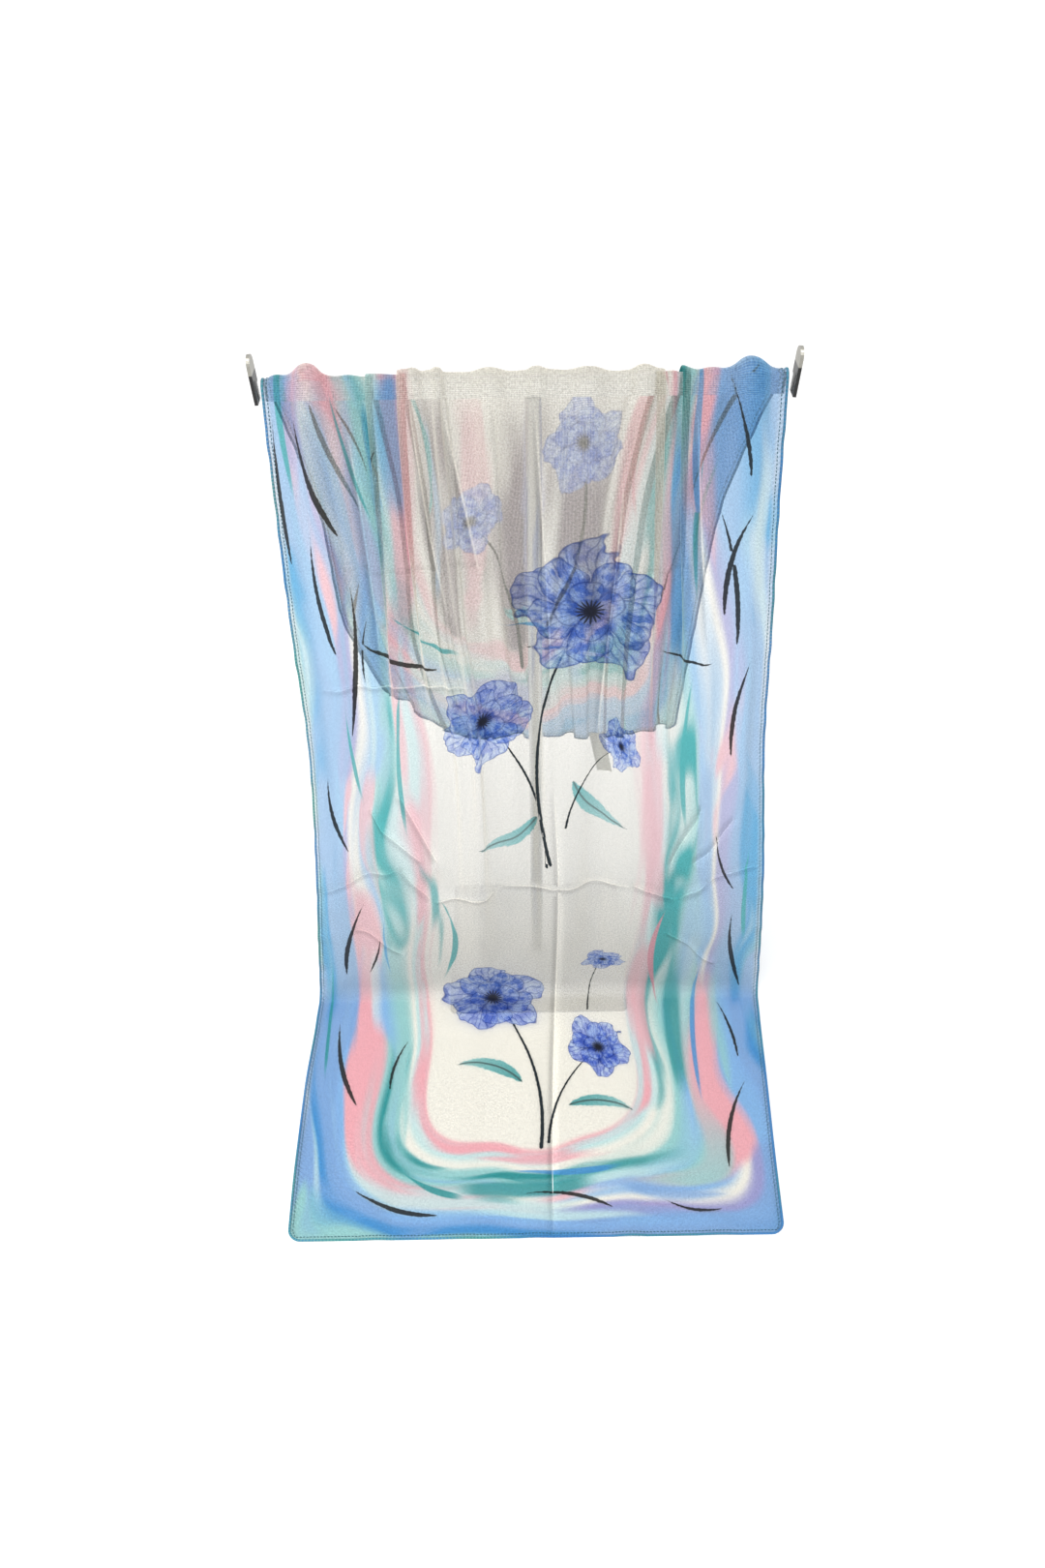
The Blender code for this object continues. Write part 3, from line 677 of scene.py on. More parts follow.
# Broad strokes of the wash, and narrower ones with a firmer edge. The dyes are numbered from 1.
STROKE_DYES = ("pink", "rose", "teal", "cornflower", "sky", "lavender", "mint", "azure")
PINK, ROSE, TEAL, CORNFLOWER, SKY, LAVENDER, MINT, AZURE = range(1, 9)
BROAD_STROKES = (
    Line((0.030, 0.455), (0.052, 0.770), 0.04, 0.017, SKY),
    Line((0.086, 0.470), (0.092, 0.690), -0.03, 0.011, CORNFLOWER),
    Line((0.120, 0.400), (0.124, 0.560), 0.02, 0.013, AZURE),
    Line((0.118, 0.600), (0.108, 0.860), 0.05, 0.013, PINK),
    Line((0.070, 0.800), (0.078, 1.000), 0.06, 0.013, PINK),
    Line((0.104, 0.905), (0.122, 1.150), -0.10, 0.011, TEAL),
    Line((0.030, 0.960), (0.048, 1.230), 0.05, 0.016, CORNFLOWER),
    Line((0.084, 1.180), (0.110, 1.360), -0.06, 0.013, MINT),
    Line((0.404, 0.440), (0.414, 0.760), 0.03, 0.014, AZURE),
    Line((0.440, 0.430), (0.446, 0.620), 0.03, 0.013, PINK),
    Line((0.378, 0.500), (0.384, 0.700), 0.02, 0.009, ROSE),
    Line((0.470, 0.560), (0.478, 0.860), 0.03, 0.013, SKY),
    Line((0.386, 0.770), (0.392, 1.010), 0.07, 0.013, PINK),
    Line((0.440, 0.790), (0.448, 0.990), 0.05, 0.014, CORNFLOWER),
    Line((0.378, 1.040), (0.388, 1.250), 0.08, 0.012, PINK),
    Line((0.408, 1.050), (0.412, 1.290), 0.05, 0.012, TEAL),
    Line((0.456, 1.060), (0.466, 1.300), 0.04, 0.014, MINT),
    Line((0.170, 1.352), (0.350, 1.346), 0.05, 0.010, PINK),
    Line((0.160, 1.385), (0.320, 1.380), 0.06, 0.010, TEAL),
    Line((0.330, 1.385), (0.460, 1.400), 0.06, 0.011, CORNFLOWER),
    Line((0.040, 1.412), (0.220, 1.425), 0.04, 0.009, SKY),
    Line((0.200, 0.415), (0.188, 0.120), 0.03, 0.021, PINK),
    Line((0.250, 0.400), (0.262, 0.160), 0.04, 0.017, LAVENDER),
    Line((0.352, 0.420), (0.366, 0.180), 0.04, 0.014, ROSE),
    Line((0.150, 0.410), (0.136, 0.150), 0.04, 0.012, SKY),
    Line((0.306, 0.240), (0.318, 0.060), 0.04, 0.020, SKY),
    Line((0.150, 0.060), (0.290, 0.050), 0.04, 0.018, LAVENDER),
)
FIRM_STROKES = (
    Line((0.060, 0.420), (0.090, 0.560), 0.03, 0.0028, TEAL),
    Line((0.048, 0.700), (0.056, 0.860), 0.04, 0.0024, TEAL),
    Line((0.112, 0.700), (0.104, 0.900), 0.05, 0.0036, TEAL),
    Line((0.126, 0.960), (0.138, 1.130), -0.12, 0.0040, TEAL),
    Line((0.078, 0.985), (0.084, 1.120), 0.05, 0.0030, AZURE),
    Line((0.434, 0.470), (0.426, 0.640), 0.03, 0.0032, TEAL),
    Line((0.422, 0.700), (0.412, 0.900), 0.04, 0.0040, TEAL),
    Line((0.398, 0.980), (0.390, 1.170), 0.09, 0.0036, ROSE),
    Line((0.436, 1.080), (0.430, 1.300), 0.04, 0.0036, AZURE),
    Line((0.210, 1.368), (0.345, 1.364), 0.05, 0.0042, AZURE),
    Line((0.100, 1.360), (0.180, 1.402), 0.08, 0.0036, TEAL),
    Line((0.016, 1.060), (0.020, 1.260), 0.02, 0.0030, TEAL),
    Line((0.486, 0.900), (0.482, 1.060), 0.02, 0.0032, TEAL),
)

# What a face stores where no line or blossom is near it. A line is looked for this far past its ends,
# and there its half width falls away this fast. A blossom is looked for within so many radii.
NO_LINE = (-1.0, 1.0, 0.0)
LINE_REACH = 0.03
LINE_END_FALL = 0.3
NO_BLOSSOM = (9.0, 9.0, 0.0)
BLOSSOM_REACH = 1.6


def set_lines(mesh, name, lines, taper, u, v, repeats=False):
    """For each face's nearest line: its half width there, the distance across it, and the share along
    it plus the number of its dye."""
    best = np.full(len(u), -np.inf)
    found = np.tile(np.array(NO_LINE), (len(u), 4, 1))
    for line in lines:
        for back in (0.0, REPEAT) if repeats else (0.0,):
            start = (line.start[0], line.start[1] - back)
            end = (line.end[0], line.end[1] - back)
            middle = [(a + b) / 2 for a, b in zip(start, end)]
            near = LINE_REACH + 0.5 * math.dist(start, end)
            faces = np.nonzero(np.hypot(u[:, 0] - middle[0], v[:, 0] - middle[1]) < near)[0]
            if len(faces) == 0:
                continue
            share, offset = line_places(u[faces], v[faces], start, end, line.bend)
            half = line.half_width * taper(np.clip(share, 0.0, 1.0))
            half = half - LINE_END_FALL * np.maximum(np.abs(share - 0.5) - 0.5, 0.0)
            inside = (half - np.abs(offset)).max(axis=1)
            closer = inside > best[faces]
            chosen = faces[closer]
            best[chosen] = inside[closer]
            dyed = np.clip(share, 0.0, 0.98) + line.dye
            found[chosen] = np.stack([half, offset, dyed], axis=2)[closer]
    set_corner_vectors(mesh, name, found)


def set_blossoms(mesh, u, v):
    """For each face's nearest blossom: the place in it, with the petals' tips at 1, and its seed."""
    best = np.full(len(u), np.inf)
    found = np.tile(np.array(NO_BLOSSOM), (len(u), 4, 1))
    for blossom in BLOSSOMS:
        turn = math.radians(blossom.turn)
        du, dv = u - blossom.place[0], v - blossom.place[1]
        x = (du * math.cos(turn) + dv * math.sin(turn)) / blossom.radius
        y = (dv * math.cos(turn) - du * math.sin(turn)) / (blossom.radius * blossom.tilt)
        size = np.hypot(x, y).min(axis=1)
        closer = (size < best) & (size < BLOSSOM_REACH)
        best = np.where(closer, size, best)
        values = np.stack([x, y, np.full(x.shape, blossom.seed)], axis=2)
        found[closer] = values[closer]
    set_corner_vectors(mesh, "blossom", found)


# How the width of a line changes from its start to its end
def stem_taper(share):
    return 0.35 + 0.65 * share**0.7


def leaf_taper(share):
    return np.sin(math.pi * share**0.8) ** 0.9


def blade_taper(share):
    return np.sin(math.pi * share**1.5) ** 0.55


def stroke_taper(share):
    return np.sin(math.pi * share) ** 0.4


def crease_taper(share):
    return np.sqrt(np.sin(math.pi * share))


def set_print(mesh, u, v):
    """Stores where the print's strokes, lines and blossoms are, for its dye to read."""
    set_lines(mesh, "broad stroke", BROAD_STROKES, stroke_taper, u, v)
    set_lines(mesh, "firm stroke", FIRM_STROKES, blade_taper, u, v, repeats=True)
    set_lines(mesh, "leaf", LEAVES, leaf_taper, u, v)
    set_lines(mesh, "stem", STEMS, stem_taper, u, v)
    set_lines(mesh, "blade", BLADES, blade_taper, u, v, repeats=True)
    set_blossoms(mesh, u, v)


set_print(scarf.data, corner_u, corner_v)
crease_lines = [Line(crease.start, crease.end, 0.0, crease.width) for crease in CREASES]
set_lines(scarf.data, "crease", crease_lines, crease_taper, corner_u, corner_v)


# Dyes of the print, as the yarn takes them. The clear share of the cloth is tinted by the same dyes.
DYES = {
    "ground": "#EFEBDF",
    "cornflower": "#A9C3DA",
    "sky": "#ACCBE2",
    "azure": "#74B2D4",
    "lavender": "#BCBBD4",
    "teal": "#5BB2AF",
    "mint": "#B9D9D3",
    "pale mint": "#D6E6E0",
    "pink": "#EEC5C5",
    "rose": "#E2A0A7",
    "petal, thin": "#BFD0EC",
    "petal": "#3568C8",
    "petal, deep": "#0F2C7A",
    # partly painted shade: this grey darkens the back layer where it is seen through the front one
    "smoke_and_shade": "#8F8287",
    "ink": "#0B0C0E",
    "stem": "#1B262C",
}

# The washes that run along the edges of the cut, from the selvage inwards, in two sets of dyes that
# take turns along the cloth. A stop is the distance from the edge and the dye there.
WASH_DEPTH = 0.150
WASHES = (
    ((0.000, "cornflower"), (0.024, "cornflower"), (0.036, "sky"), (0.044, "pink"), (0.060, "pink"),
     (0.070, "mint"), (0.080, "teal"), (0.088, "teal"), (0.098, "pale mint"), (0.108, "pink"),
     (0.116, "pink"), (0.128, "ground"), (0.150, "ground")),
    ((0.000, "mint"), (0.012, "azure"), (0.034, "cornflower"), (0.044, "lavender"),
     (0.054, "ground"), (0.066, "sky"), (0.082, "mint"), (0.096, "ground"),
     (0.108, "pale mint"), (0.118, "pink"), (0.130, "ground"), (0.150, "ground")),
)

# The blossoms' rings of petals, from the back: how many, how far they are turned, and their size
PETAL_RINGS = ((5, 0.5, 1.0), (5, 0.0, 0.80), (4, 0.3, 0.46))


def dye_colour(name):
    """A dye of the print as linear RGBA."""
    return to_linear(DYES[name])


def fill_ramp(node, stops, depth, interpolation):
    """Gives a ramp its stops, each a place within the depth and the dye there."""
    ramp = node.color_ramp
    ramp.interpolation = interpolation
    while len(ramp.elements) > 1:
        ramp.elements.remove(ramp.elements[-1])
    ramp.elements[0].position = stops[0][0] / depth
    ramp.elements[0].color = dye_colour(stops[0][1])
    for place, dye in stops[1:]:
        ramp.elements.new(place / depth).color = dye_colour(dye)


def lay_washes(tree, cut):
    """The washes along the edges: their dye, the share of bare margin inside the side hems, and the
    patchy noise that breaks up the edges of the strokes."""
    place = add_node(tree, "SeparateXYZ", [cut])
    u, v = place.outputs[0], place.outputs[1]

    # the distance from the nearest edge, which rounds the corners
    from_right = add_node(tree, "Math", [CUT_WIDTH, u], operation="SUBTRACT")
    from_side = add_node(tree, "Math", [u, from_right, 0.02], operation="SMOOTH_MIN")
    from_end = add_node(tree, "Math", [LENGTH, v], operation="SUBTRACT")
    from_end = add_node(tree, "Math", [v, from_end, 0.02], operation="SMOOTH_MIN")
    edge = add_node(tree, "Math", [from_side, from_end, 0.09], operation="SMOOTH_MIN")
    edge = add_node(tree, "Math", [edge, 0.003], operation="ADD")

    # the washes wander over about 150 x 320 mm, and are drawn out into streaks 17 mm wide and 380 mm long
    slow = add_node(tree, "VectorMath", [cut, (6.5, 3.1, 1.0)], operation="MULTIPLY")
    wander = add_node(tree, "TexNoise", {"Vector": slow, "Scale": 1.0, "Detail": 1.0, "Roughness": 0.4})
    wander = add_node(tree, "MapRange", [wander, *NOISE, -0.026, 0.026], clamp=False)
    moved = add_node(tree, "Math", [edge, wander], operation="ADD")
    run = add_node(tree, "CombineXYZ", [moved, v, u])
    drawn = add_node(tree, "VectorMath", [run, (60.0, 2.6, 3.2)], operation="MULTIPLY")
    streak = add_node(tree, "TexNoise", {"Vector": drawn, "Scale": 1.0, "Detail": 1.5, "Roughness": 0.4})
    streak = add_node(tree, "MapRange", [streak, *NOISE, -0.008, 0.008], clamp=False)
    washed = add_node(tree, "Math", [moved, streak], operation="ADD")

    # the two sets of washes, which take turns in patches about 40 x 220 mm
    ramp_place = add_node(tree, "Math", [washed, WASH_DEPTH], operation="DIVIDE")
    ramps = [add_node(tree, "ValToRGB", [ramp_place]) for _ in WASHES]
    for ramp, stops in zip(ramps, WASHES):
        fill_ramp(ramp, stops, WASH_DEPTH, "EASE")
    patch = add_node(tree, "VectorMath", [run, (16.0, 3.0, 3.0)], operation="MULTIPLY")
    patch = add_node(tree, "TexNoise", {"Vector": patch, "Scale": 1.5, "Detail": 2.0, "Distortion": 0.6})
    patch = add_node(tree, "MapRange", [patch, 0.44, 0.56, 0.0, 1.0], **SMOOTH)
    dye = add_node(tree, "Mix", {0: patch, 6: ramps[0], 7: ramps[1]}, **COLOURS).outputs[2]

    # here and there they run thin, and at their inner end they leave the ground bare
    patchy = add_node(tree, "VectorMath", [drawn, (0.55, 0.8, 0.8)], operation="MULTIPLY")
    patchy = add_node(tree, "TexNoise", {"Vector": patchy, "Scale": 1.0, "Detail": 2.0})
    thin = add_node(tree, "MapRange", [patchy, 0.56, 0.68, 0.0, 0.85], **SMOOTH)
    dye = add_node(tree, "Mix", {0: thin, 6: dye, 7: dye_colour("pale mint")}, **COLOURS).outputs[2]
    inside = add_node(tree, "MapRange", [washed, 0.112, 0.128, 0.0, 1.0], **SMOOTH)
    dye = add_node(tree, "Mix", {0: inside, 6: dye, 7: dye_colour("ground")}, **COLOURS).outputs[2]

    # the back end's ground carries a smoky grey wash, drawn out into streaks about 50 x 330 mm. It is partly
    # print and partly painted shade, which darkens the back layer where it is seen through the front one.
    smoke_and_shade = add_node(tree, "VectorMath", [cut, (21.0, 3.0, 1.0)], operation="MULTIPLY")
    smoke_and_shade = add_node(tree, "TexNoise", {"Vector": smoke_and_shade, "Scale": 1.0, "Detail": 2.0, "Roughness": 0.5})
    smoke_and_shade = add_node(tree, "MapRange", [smoke_and_shade, 0.43, 0.62, 0.0, 1.0], **SMOOTH)
    back_end = add_node(tree, "MapRange", [v, 0.33, 0.43, 1.0, 0.0], **SMOOTH)
    smoke_and_shade = add_node(tree, "Math", [smoke_and_shade, back_end], operation="MULTIPLY")
    smoke_and_shade = add_node(tree, "Math", [smoke_and_shade, inside], operation="MULTIPLY")
    dye = add_node(tree, "Mix", {0: smoke_and_shade, 6: dye, 7: dye_colour("smoke_and_shade")}, **COLOURS).outputs[2]

    # a pale margin just inside the side hems, where the dye did not reach
    margin = add_node(tree, "MapRange", [from_side, 0.0030, 0.0075, 1.0, 0.0], **SMOOTH)
    uneven = add_node(tree, "MapRange", [patchy, 0.42, 0.60, 0.0, 0.45], **SMOOTH)
    margin = add_node(tree, "Math", [margin, uneven], operation="MULTIPLY")
    return dye, margin, patchy


def read_line(tree, name):
    """The depth of a place inside the nearest line's edge, its distance from the line's middle, and the
    share along the line plus the number of its dye."""
    line = add_node(tree, "Attribute", attribute_name=name, attribute_type="GEOMETRY")
    parts = add_node(tree, "SeparateXYZ", [line.outputs["Vector"]])
    distance = add_node(tree, "Math", [parts.outputs[1]], operation="ABSOLUTE")
    depth = add_node(tree, "Math", [parts.outputs[0], distance], operation="SUBTRACT")
    return depth, distance, parts.outputs[2]


def lay_strokes(tree, dye, patchy):
    """Broad strokes with soft, uneven edges, then narrower ones with firm edges."""
    count = len(STROKE_DYES)
    for name, edge_width, strength in (("broad stroke", 0.009, 0.80), ("firm stroke", 0.0014, 0.88)):
        depth, _, numbered = read_line(tree, name)
        wobble = add_node(tree, "MapRange", [patchy, *NOISE, -edge_width, edge_width], clamp=False)
        depth = add_node(tree, "Math", [depth, wobble], operation="ADD")
        covered = add_node(tree, "MapRange", [depth, 0.0, edge_width, 0.0, strength], **SMOOTH)
        share = add_node(tree, "Math", [numbered], operation="FRACT")
        share = add_node(tree, "Math", [share, 0.5], operation="PINGPONG")
        fade = add_node(tree, "MapRange", [share, 0.0, 0.20, 0.0, 1.0], **SMOOTH)
        covered = add_node(tree, "Math", [covered, fade], operation="MULTIPLY")
        number = add_node(tree, "Math", [numbered], operation="FLOOR")
        number = add_node(tree, "Math", [number, 1 / count, -0.5 / count], operation="MULTIPLY_ADD")
        chosen = add_node(tree, "ValToRGB", [number])
        fill_ramp(chosen, [(k, stroke_dye) for k, stroke_dye in enumerate(STROKE_DYES)], count, "CONSTANT")
        dye = add_node(tree, "Mix", {0: covered, 6: dye, 7: chosen}, **COLOURS).outputs[2]
    return dye


def draw_line(tree, cut, name, edge_width, rough):
    """How much of a line's dye lies at a place, with an edge that the 4 mm grain of the brush makes
    rough, the distance from the line's middle, and the share along it."""
    depth, distance, share = read_line(tree, name)
    grain = add_node(tree, "TexNoise", {"Vector": cut, "Scale": 260.0, "Detail": 2.0})
    grain = add_node(tree, "MapRange", [grain, *NOISE, -rough, rough], clamp=False)
    depth = add_node(tree, "Math", [depth, grain], operation="ADD")
    covered = add_node(tree, "MapRange", [depth, 0.0, edge_width, 0.0, 1.0], **SMOOTH)
    return covered, distance, share


def lay_leaves(tree, cut, dye):
    """Leaves: a wash of teal that pales to the tip, with a dark rib."""
    leaf, from_rib, share = draw_line(tree, cut, "leaf", 0.0016, 0.0008)
    rib = add_node(tree, "MapRange", [from_rib, 0.0003, 0.0016, 0.75, 0.0])
    tone = add_node(tree, "MapRange", [share, 0.0, 1.0, 0.0, 0.8])
    leaf_dye = add_node(tree, "Mix", {0: tone, 6: dye_colour("teal"), 7: dye_colour("mint")}, **COLOURS)
    leaf_dye = add_node(tree, "Mix", {0: rib, 6: leaf_dye.outputs[2], 7: dye_colour("stem")}, **COLOURS)
    leaf = add_node(tree, "Math", [leaf, 0.86], operation="MULTIPLY")
    return add_node(tree, "Mix", {0: leaf, 6: dye, 7: leaf_dye.outputs[2]}, **COLOURS).outputs[2]


def lay_blossoms(tree, dye):
    """Blossoms: rings of petals, each a wash that darkens to its rim, its sides and its foot, round a
    dark eye with stamens. Gives the dye, how much the outer ring covers, and how much the eye does."""
    flower = add_node(tree, "Attribute", attribute_name="blossom", attribute_type="GEOMETRY")
    flower = flower.outputs["Vector"]
    parts = add_node(tree, "SeparateXYZ", [flower])
    ruffle = add_node(tree, "TexNoise", {"Vector": flower, "Scale": 1.7, "Detail": 2.0, "Roughness": 0.5})
    flat_place = add_node(tree, "CombineXYZ", [parts.outputs[0], parts.outputs[1], 0.0])
    radius = add_node(tree, "VectorMath", [flat_place], operation="LENGTH").outputs["Value"]
    growth = add_node(tree, "MapRange", [ruffle, *NOISE, 0.86, 1.14], clamp=False)
    radius = add_node(tree, "Math", [radius, growth], operation="MULTIPLY")
    angle = add_node(tree, "Math", [parts.outputs[1], parts.outputs[0]], operation="ARCTAN2")
    sway = add_node(tree, "MapRange", [ruffle, *NOISE, -0.16, 0.16], clamp=False)
    angle = add_node(tree, "Math", [angle, sway], operation="ADD")
    blotch = add_node(tree, "TexNoise", {"Vector": flower, "Scale": 5.5, "Detail": 4.0, "Roughness": 0.65})
    rings = []
    for petals, phase, size in PETAL_RINGS:
        turns = add_node(tree, "Math", [angle, petals / (2 * math.pi), phase], operation="MULTIPLY_ADD")
        beside = add_node(tree, "Math", [turns, 0.5, -0.5], operation="WRAP")
        spoke = add_node(tree, "Math", [beside, math.pi], operation="MULTIPLY")
        spoke = add_node(tree, "Math", [spoke], operation="COSINE")
        spoke = add_node(tree, "Math", [spoke, 0.42], operation="POWER")
        tip = add_node(tree, "Math", [spoke, 0.52 * size, 0.48 * size], operation="MULTIPLY_ADD")
        depth = add_node(tree, "Math", [tip, radius], operation="SUBTRACT")
        ring = add_node(tree, "MapRange", [depth, 0.0, 0.025, 0.0, 1.0], **SMOOTH)
        rim = add_node(tree, "MapRange", [depth, 0.0, 0.055, 0.95, 0.0], **SMOOTH)
        flank = add_node(tree, "Math", [beside], operation="ABSOLUTE")
        flank = add_node(tree, "MapRange", [flank, 0.38, 0.5, 0.0, 0.7], **SMOOTH)
        vein = add_node(tree, "Math", [beside, 46.0], operation="MULTIPLY")
        vein = add_node(tree, "Math", [vein, blotch], operation="ADD")
        vein = add_node(tree, "Math", [vein], operation="SINE")
        vein = add_node(tree, "MapRange", [vein, 0.5, 1.0, 0.0, 0.42])
        foot = add_node(tree, "MapRange", [radius, 0.10 * size, 0.60 * size, 0.95, 0.0])
        tone = add_node(tree, "MapRange", [blotch, 0.38, 0.62, 0.0, 0.85], **SMOOTH)
        thin_dye, full_dye = dye_colour("petal, thin"), dye_colour("petal")
        petal_dye = add_node(tree, "Mix", {0: tone, 6: thin_dye, 7: full_dye}, **COLOURS).outputs[2]
        dark = add_node(tree, "Math", [rim, flank], operation="MAXIMUM")
        dark = add_node(tree, "Math", [dark, vein], operation="MAXIMUM")
        dark = add_node(tree, "Math", [dark, foot], operation="MAXIMUM")
        deep_dye = dye_colour("petal, deep")
        petal_dye = add_node(tree, "Mix", {0: dark, 6: petal_dye, 7: deep_dye}, **COLOURS).outputs[2]
        strength = add_node(tree, "MapRange", [dark, 0.0, 0.6, 0.66, 0.97])
        strength = add_node(tree, "Math", [ring, strength], operation="MULTIPLY")
        dye = add_node(tree, "Mix", {0: strength, 6: dye, 7: petal_dye}, **COLOURS).outputs[2]
        rings.append(ring)
    stamens = add_node(tree, "Math", [angle, 17.0], operation="MULTIPLY")
    stamens = add_node(tree, "Math", [stamens], operation="SINE")
    reach = add_node(tree, "MapRange", [stamens, -1.0, 1.0, 0.10, 0.21])
    eye = add_node(tree, "Math", [reach, radius], operation="SUBTRACT")
    eye = add_node(tree, "MapRange", [eye, 0.0, 0.03, 0.0, 0.92])
    dye = add_node(tree, "Mix", {0: eye, 6: dye, 7: dye_colour("ink")}, **COLOURS).outputs[2]
    return dye, rings[0], eye


def make_print():
    """The print: the dye at each place of the cut, and how much of it is ink, which lies thicker."""
    tree = bpy.data.node_groups.new("printed dye", "ShaderNodeTree")
    tree.interface.new_socket("Dye", in_out="OUTPUT", socket_type="NodeSocketColor")
    tree.interface.new_socket("Ink", in_out="OUTPUT", socket_type="NodeSocketFloat")
    cut = add_node(tree, "UVMap", uv_map="cut")
    dye, margin, patchy = lay_washes(tree, cut)
    dye = lay_strokes(tree, dye, patchy)
    dye = add_node(tree, "Mix", {0: margin, 6: dye, 7: dye_colour("ground")}, **COLOURS).outputs[2]
    dye = lay_leaves(tree, cut, dye)

    # stems and blades of grass, in ink
    stem, _, _ = draw_line(tree, cut, "stem", 0.0007, 0.0003)
    dye = add_node(tree, "Mix", {0: stem, 6: dye, 7: dye_colour("stem")}, **COLOURS).outputs[2]
    blade, _, _ = draw_line(tree, cut, "blade", 0.0006, 0.0004)
    blade = add_node(tree, "Math", [blade, 0.94], operation="MULTIPLY")
    dye = add_node(tree, "Mix", {0: blade, 6: dye, 7: dye_colour("ink")}, **COLOURS).outputs[2]
    dye, outer_ring, eye = lay_blossoms(tree, dye)

    # the stem's ink is hidden by the petals that lie over it
    open_stem = add_node(tree, "Math", [1.0, outer_ring], operation="SUBTRACT")
    stem_ink = add_node(tree, "Math", [stem, open_stem], operation="MULTIPLY")
    ink = add_node(tree, "Math", [stem_ink, blade], operation="MAXIMUM")
    ink = add_node(tree, "Math", [ink, eye], operation="MAXIMUM")
    set_inputs(tree, tree.nodes.new("NodeGroupOutput"), {"Dye": dye, "Ink": ink})
    return tree


printed_dye = make_print()

# Chiffon is a plain weave of fine, tightly twisted yarn with open holes between. The eye sees what is
# behind it through the holes, tinted by the dye of the fine filaments, and the yarn itself glows in the
# dye's colour, lit from both sides. The yarns are about 0.28 mm apart and their crepe grain is about
# 0.43 mm wide. Both are too fine to show, so both are drawn four times as coarse.
COARSER = 4
YARN_SPACING = 0.000275
CREPE_GRAIN = 0.000425

# The share of the cloth that is clear, and under ink, the tint of the bare ground's clear share, and the
# share of the yarn's own light that comes through it. At a slant the yarns close up the holes: between
# these two slants the clear share falls to this part of what it is face on.
OPEN_SHARE = 0.67
OPEN_SHARE_INK = 0.10
CLEAR_GROUND = (0.835, 0.830, 0.806)
YARN_THROUGH = 0.30
SLANT_FROM, SLANT_TO, SLANT_LEAST = 0.26, 0.80, 0.12

# The painted shade and highlight beside a crease reach this far. The stitches of the side hems draw the
# cloth into short slanting gathers, this far apart and this far in, painted as stripes of shade and light.
CREASE_SIDE = 0.0040
GATHER_PITCH = 0.0052
GATHER_REACH = 0.011


def shade_creases(tree, cut, u, v):
    """How high a crease stands and how sharp its crest is, and the painted shading of the creases and
    gathers: a painted shade on one side of each crease, a painted highlight along its crest, and painted
    stripes of shade and light for the gathers."""
    crease = add_node(tree, "Attribute", attribute_name="crease", attribute_type="GEOMETRY")
    parts = add_node(tree, "SeparateXYZ", [crease.outputs["Vector"]])
    held = add_node(tree, "MapRange", [parts.outputs[0], 0.0, 0.009, 0.0, 1.0])
    sideways = add_node(tree, "Math", [parts.outputs[1], 1 / CREASE_SIDE], operation="MULTIPLY")
    squared = add_node(tree, "Math", [sideways, sideways], operation="MULTIPLY")
    height = add_node(tree, "Math", [squared, -1.0], operation="MULTIPLY")
    height = add_node(tree, "Math", [height], operation="EXPONENT")
    turned = add_node(tree, "Math", [sideways, height], operation="MULTIPLY")
    turned = add_node(tree, "Math", [turned, held], operation="MULTIPLY")
    crest = add_node(tree, "Math", [squared, -16.0], operation="MULTIPLY")
    crest = add_node(tree, "Math", [crest], operation="EXPONENT")
    crest = add_node(tree, "Math", [crest, held], operation="MULTIPLY")
    # painted shade on one side of each crease, and a painted highlight along its crest
    tone = add_node(tree, "Math", [turned, -0.60, 1.0], operation="MULTIPLY_ADD")
    tone = add_node(tree, "Math", [crest, 0.22, tone], operation="MULTIPLY_ADD")

    # the gathers, painted as slanting stripes of shade and light, made uneven over about 17 mm
    inwards = add_node(tree, "Math", [u, -CUT_WIDTH / 2], operation="ADD")
    inwards = add_node(tree, "Math", [inwards], operation="ABSOLUTE")
    inwards = add_node(tree, "Math", [CUT_WIDTH / 2, inwards], operation="SUBTRACT")
    slanted = add_node(tree, "Math", [inwards, -0.9, v], operation="MULTIPLY_ADD")
    uneven = add_node(tree, "TexNoise", {"Vector": cut, "Scale": 60.0, "Detail": 1.0})
    slanted = add_node(tree, "Math", [uneven, 0.006, slanted], operation="MULTIPLY_ADD")
    painted_gather_shading = add_node(tree, "Math", [slanted, 2 * math.pi / GATHER_PITCH], operation="MULTIPLY")
    painted_gather_shading = add_node(tree, "Math", [painted_gather_shading], operation="SINE")
    gathered = add_node(tree, "MapRange", [inwards, 0.002, GATHER_REACH, 0.20, 0.0])
    tone = add_node(tree, "Math", [painted_gather_shading, gathered, tone], operation="MULTIPLY_ADD")
    return height, crest, tone


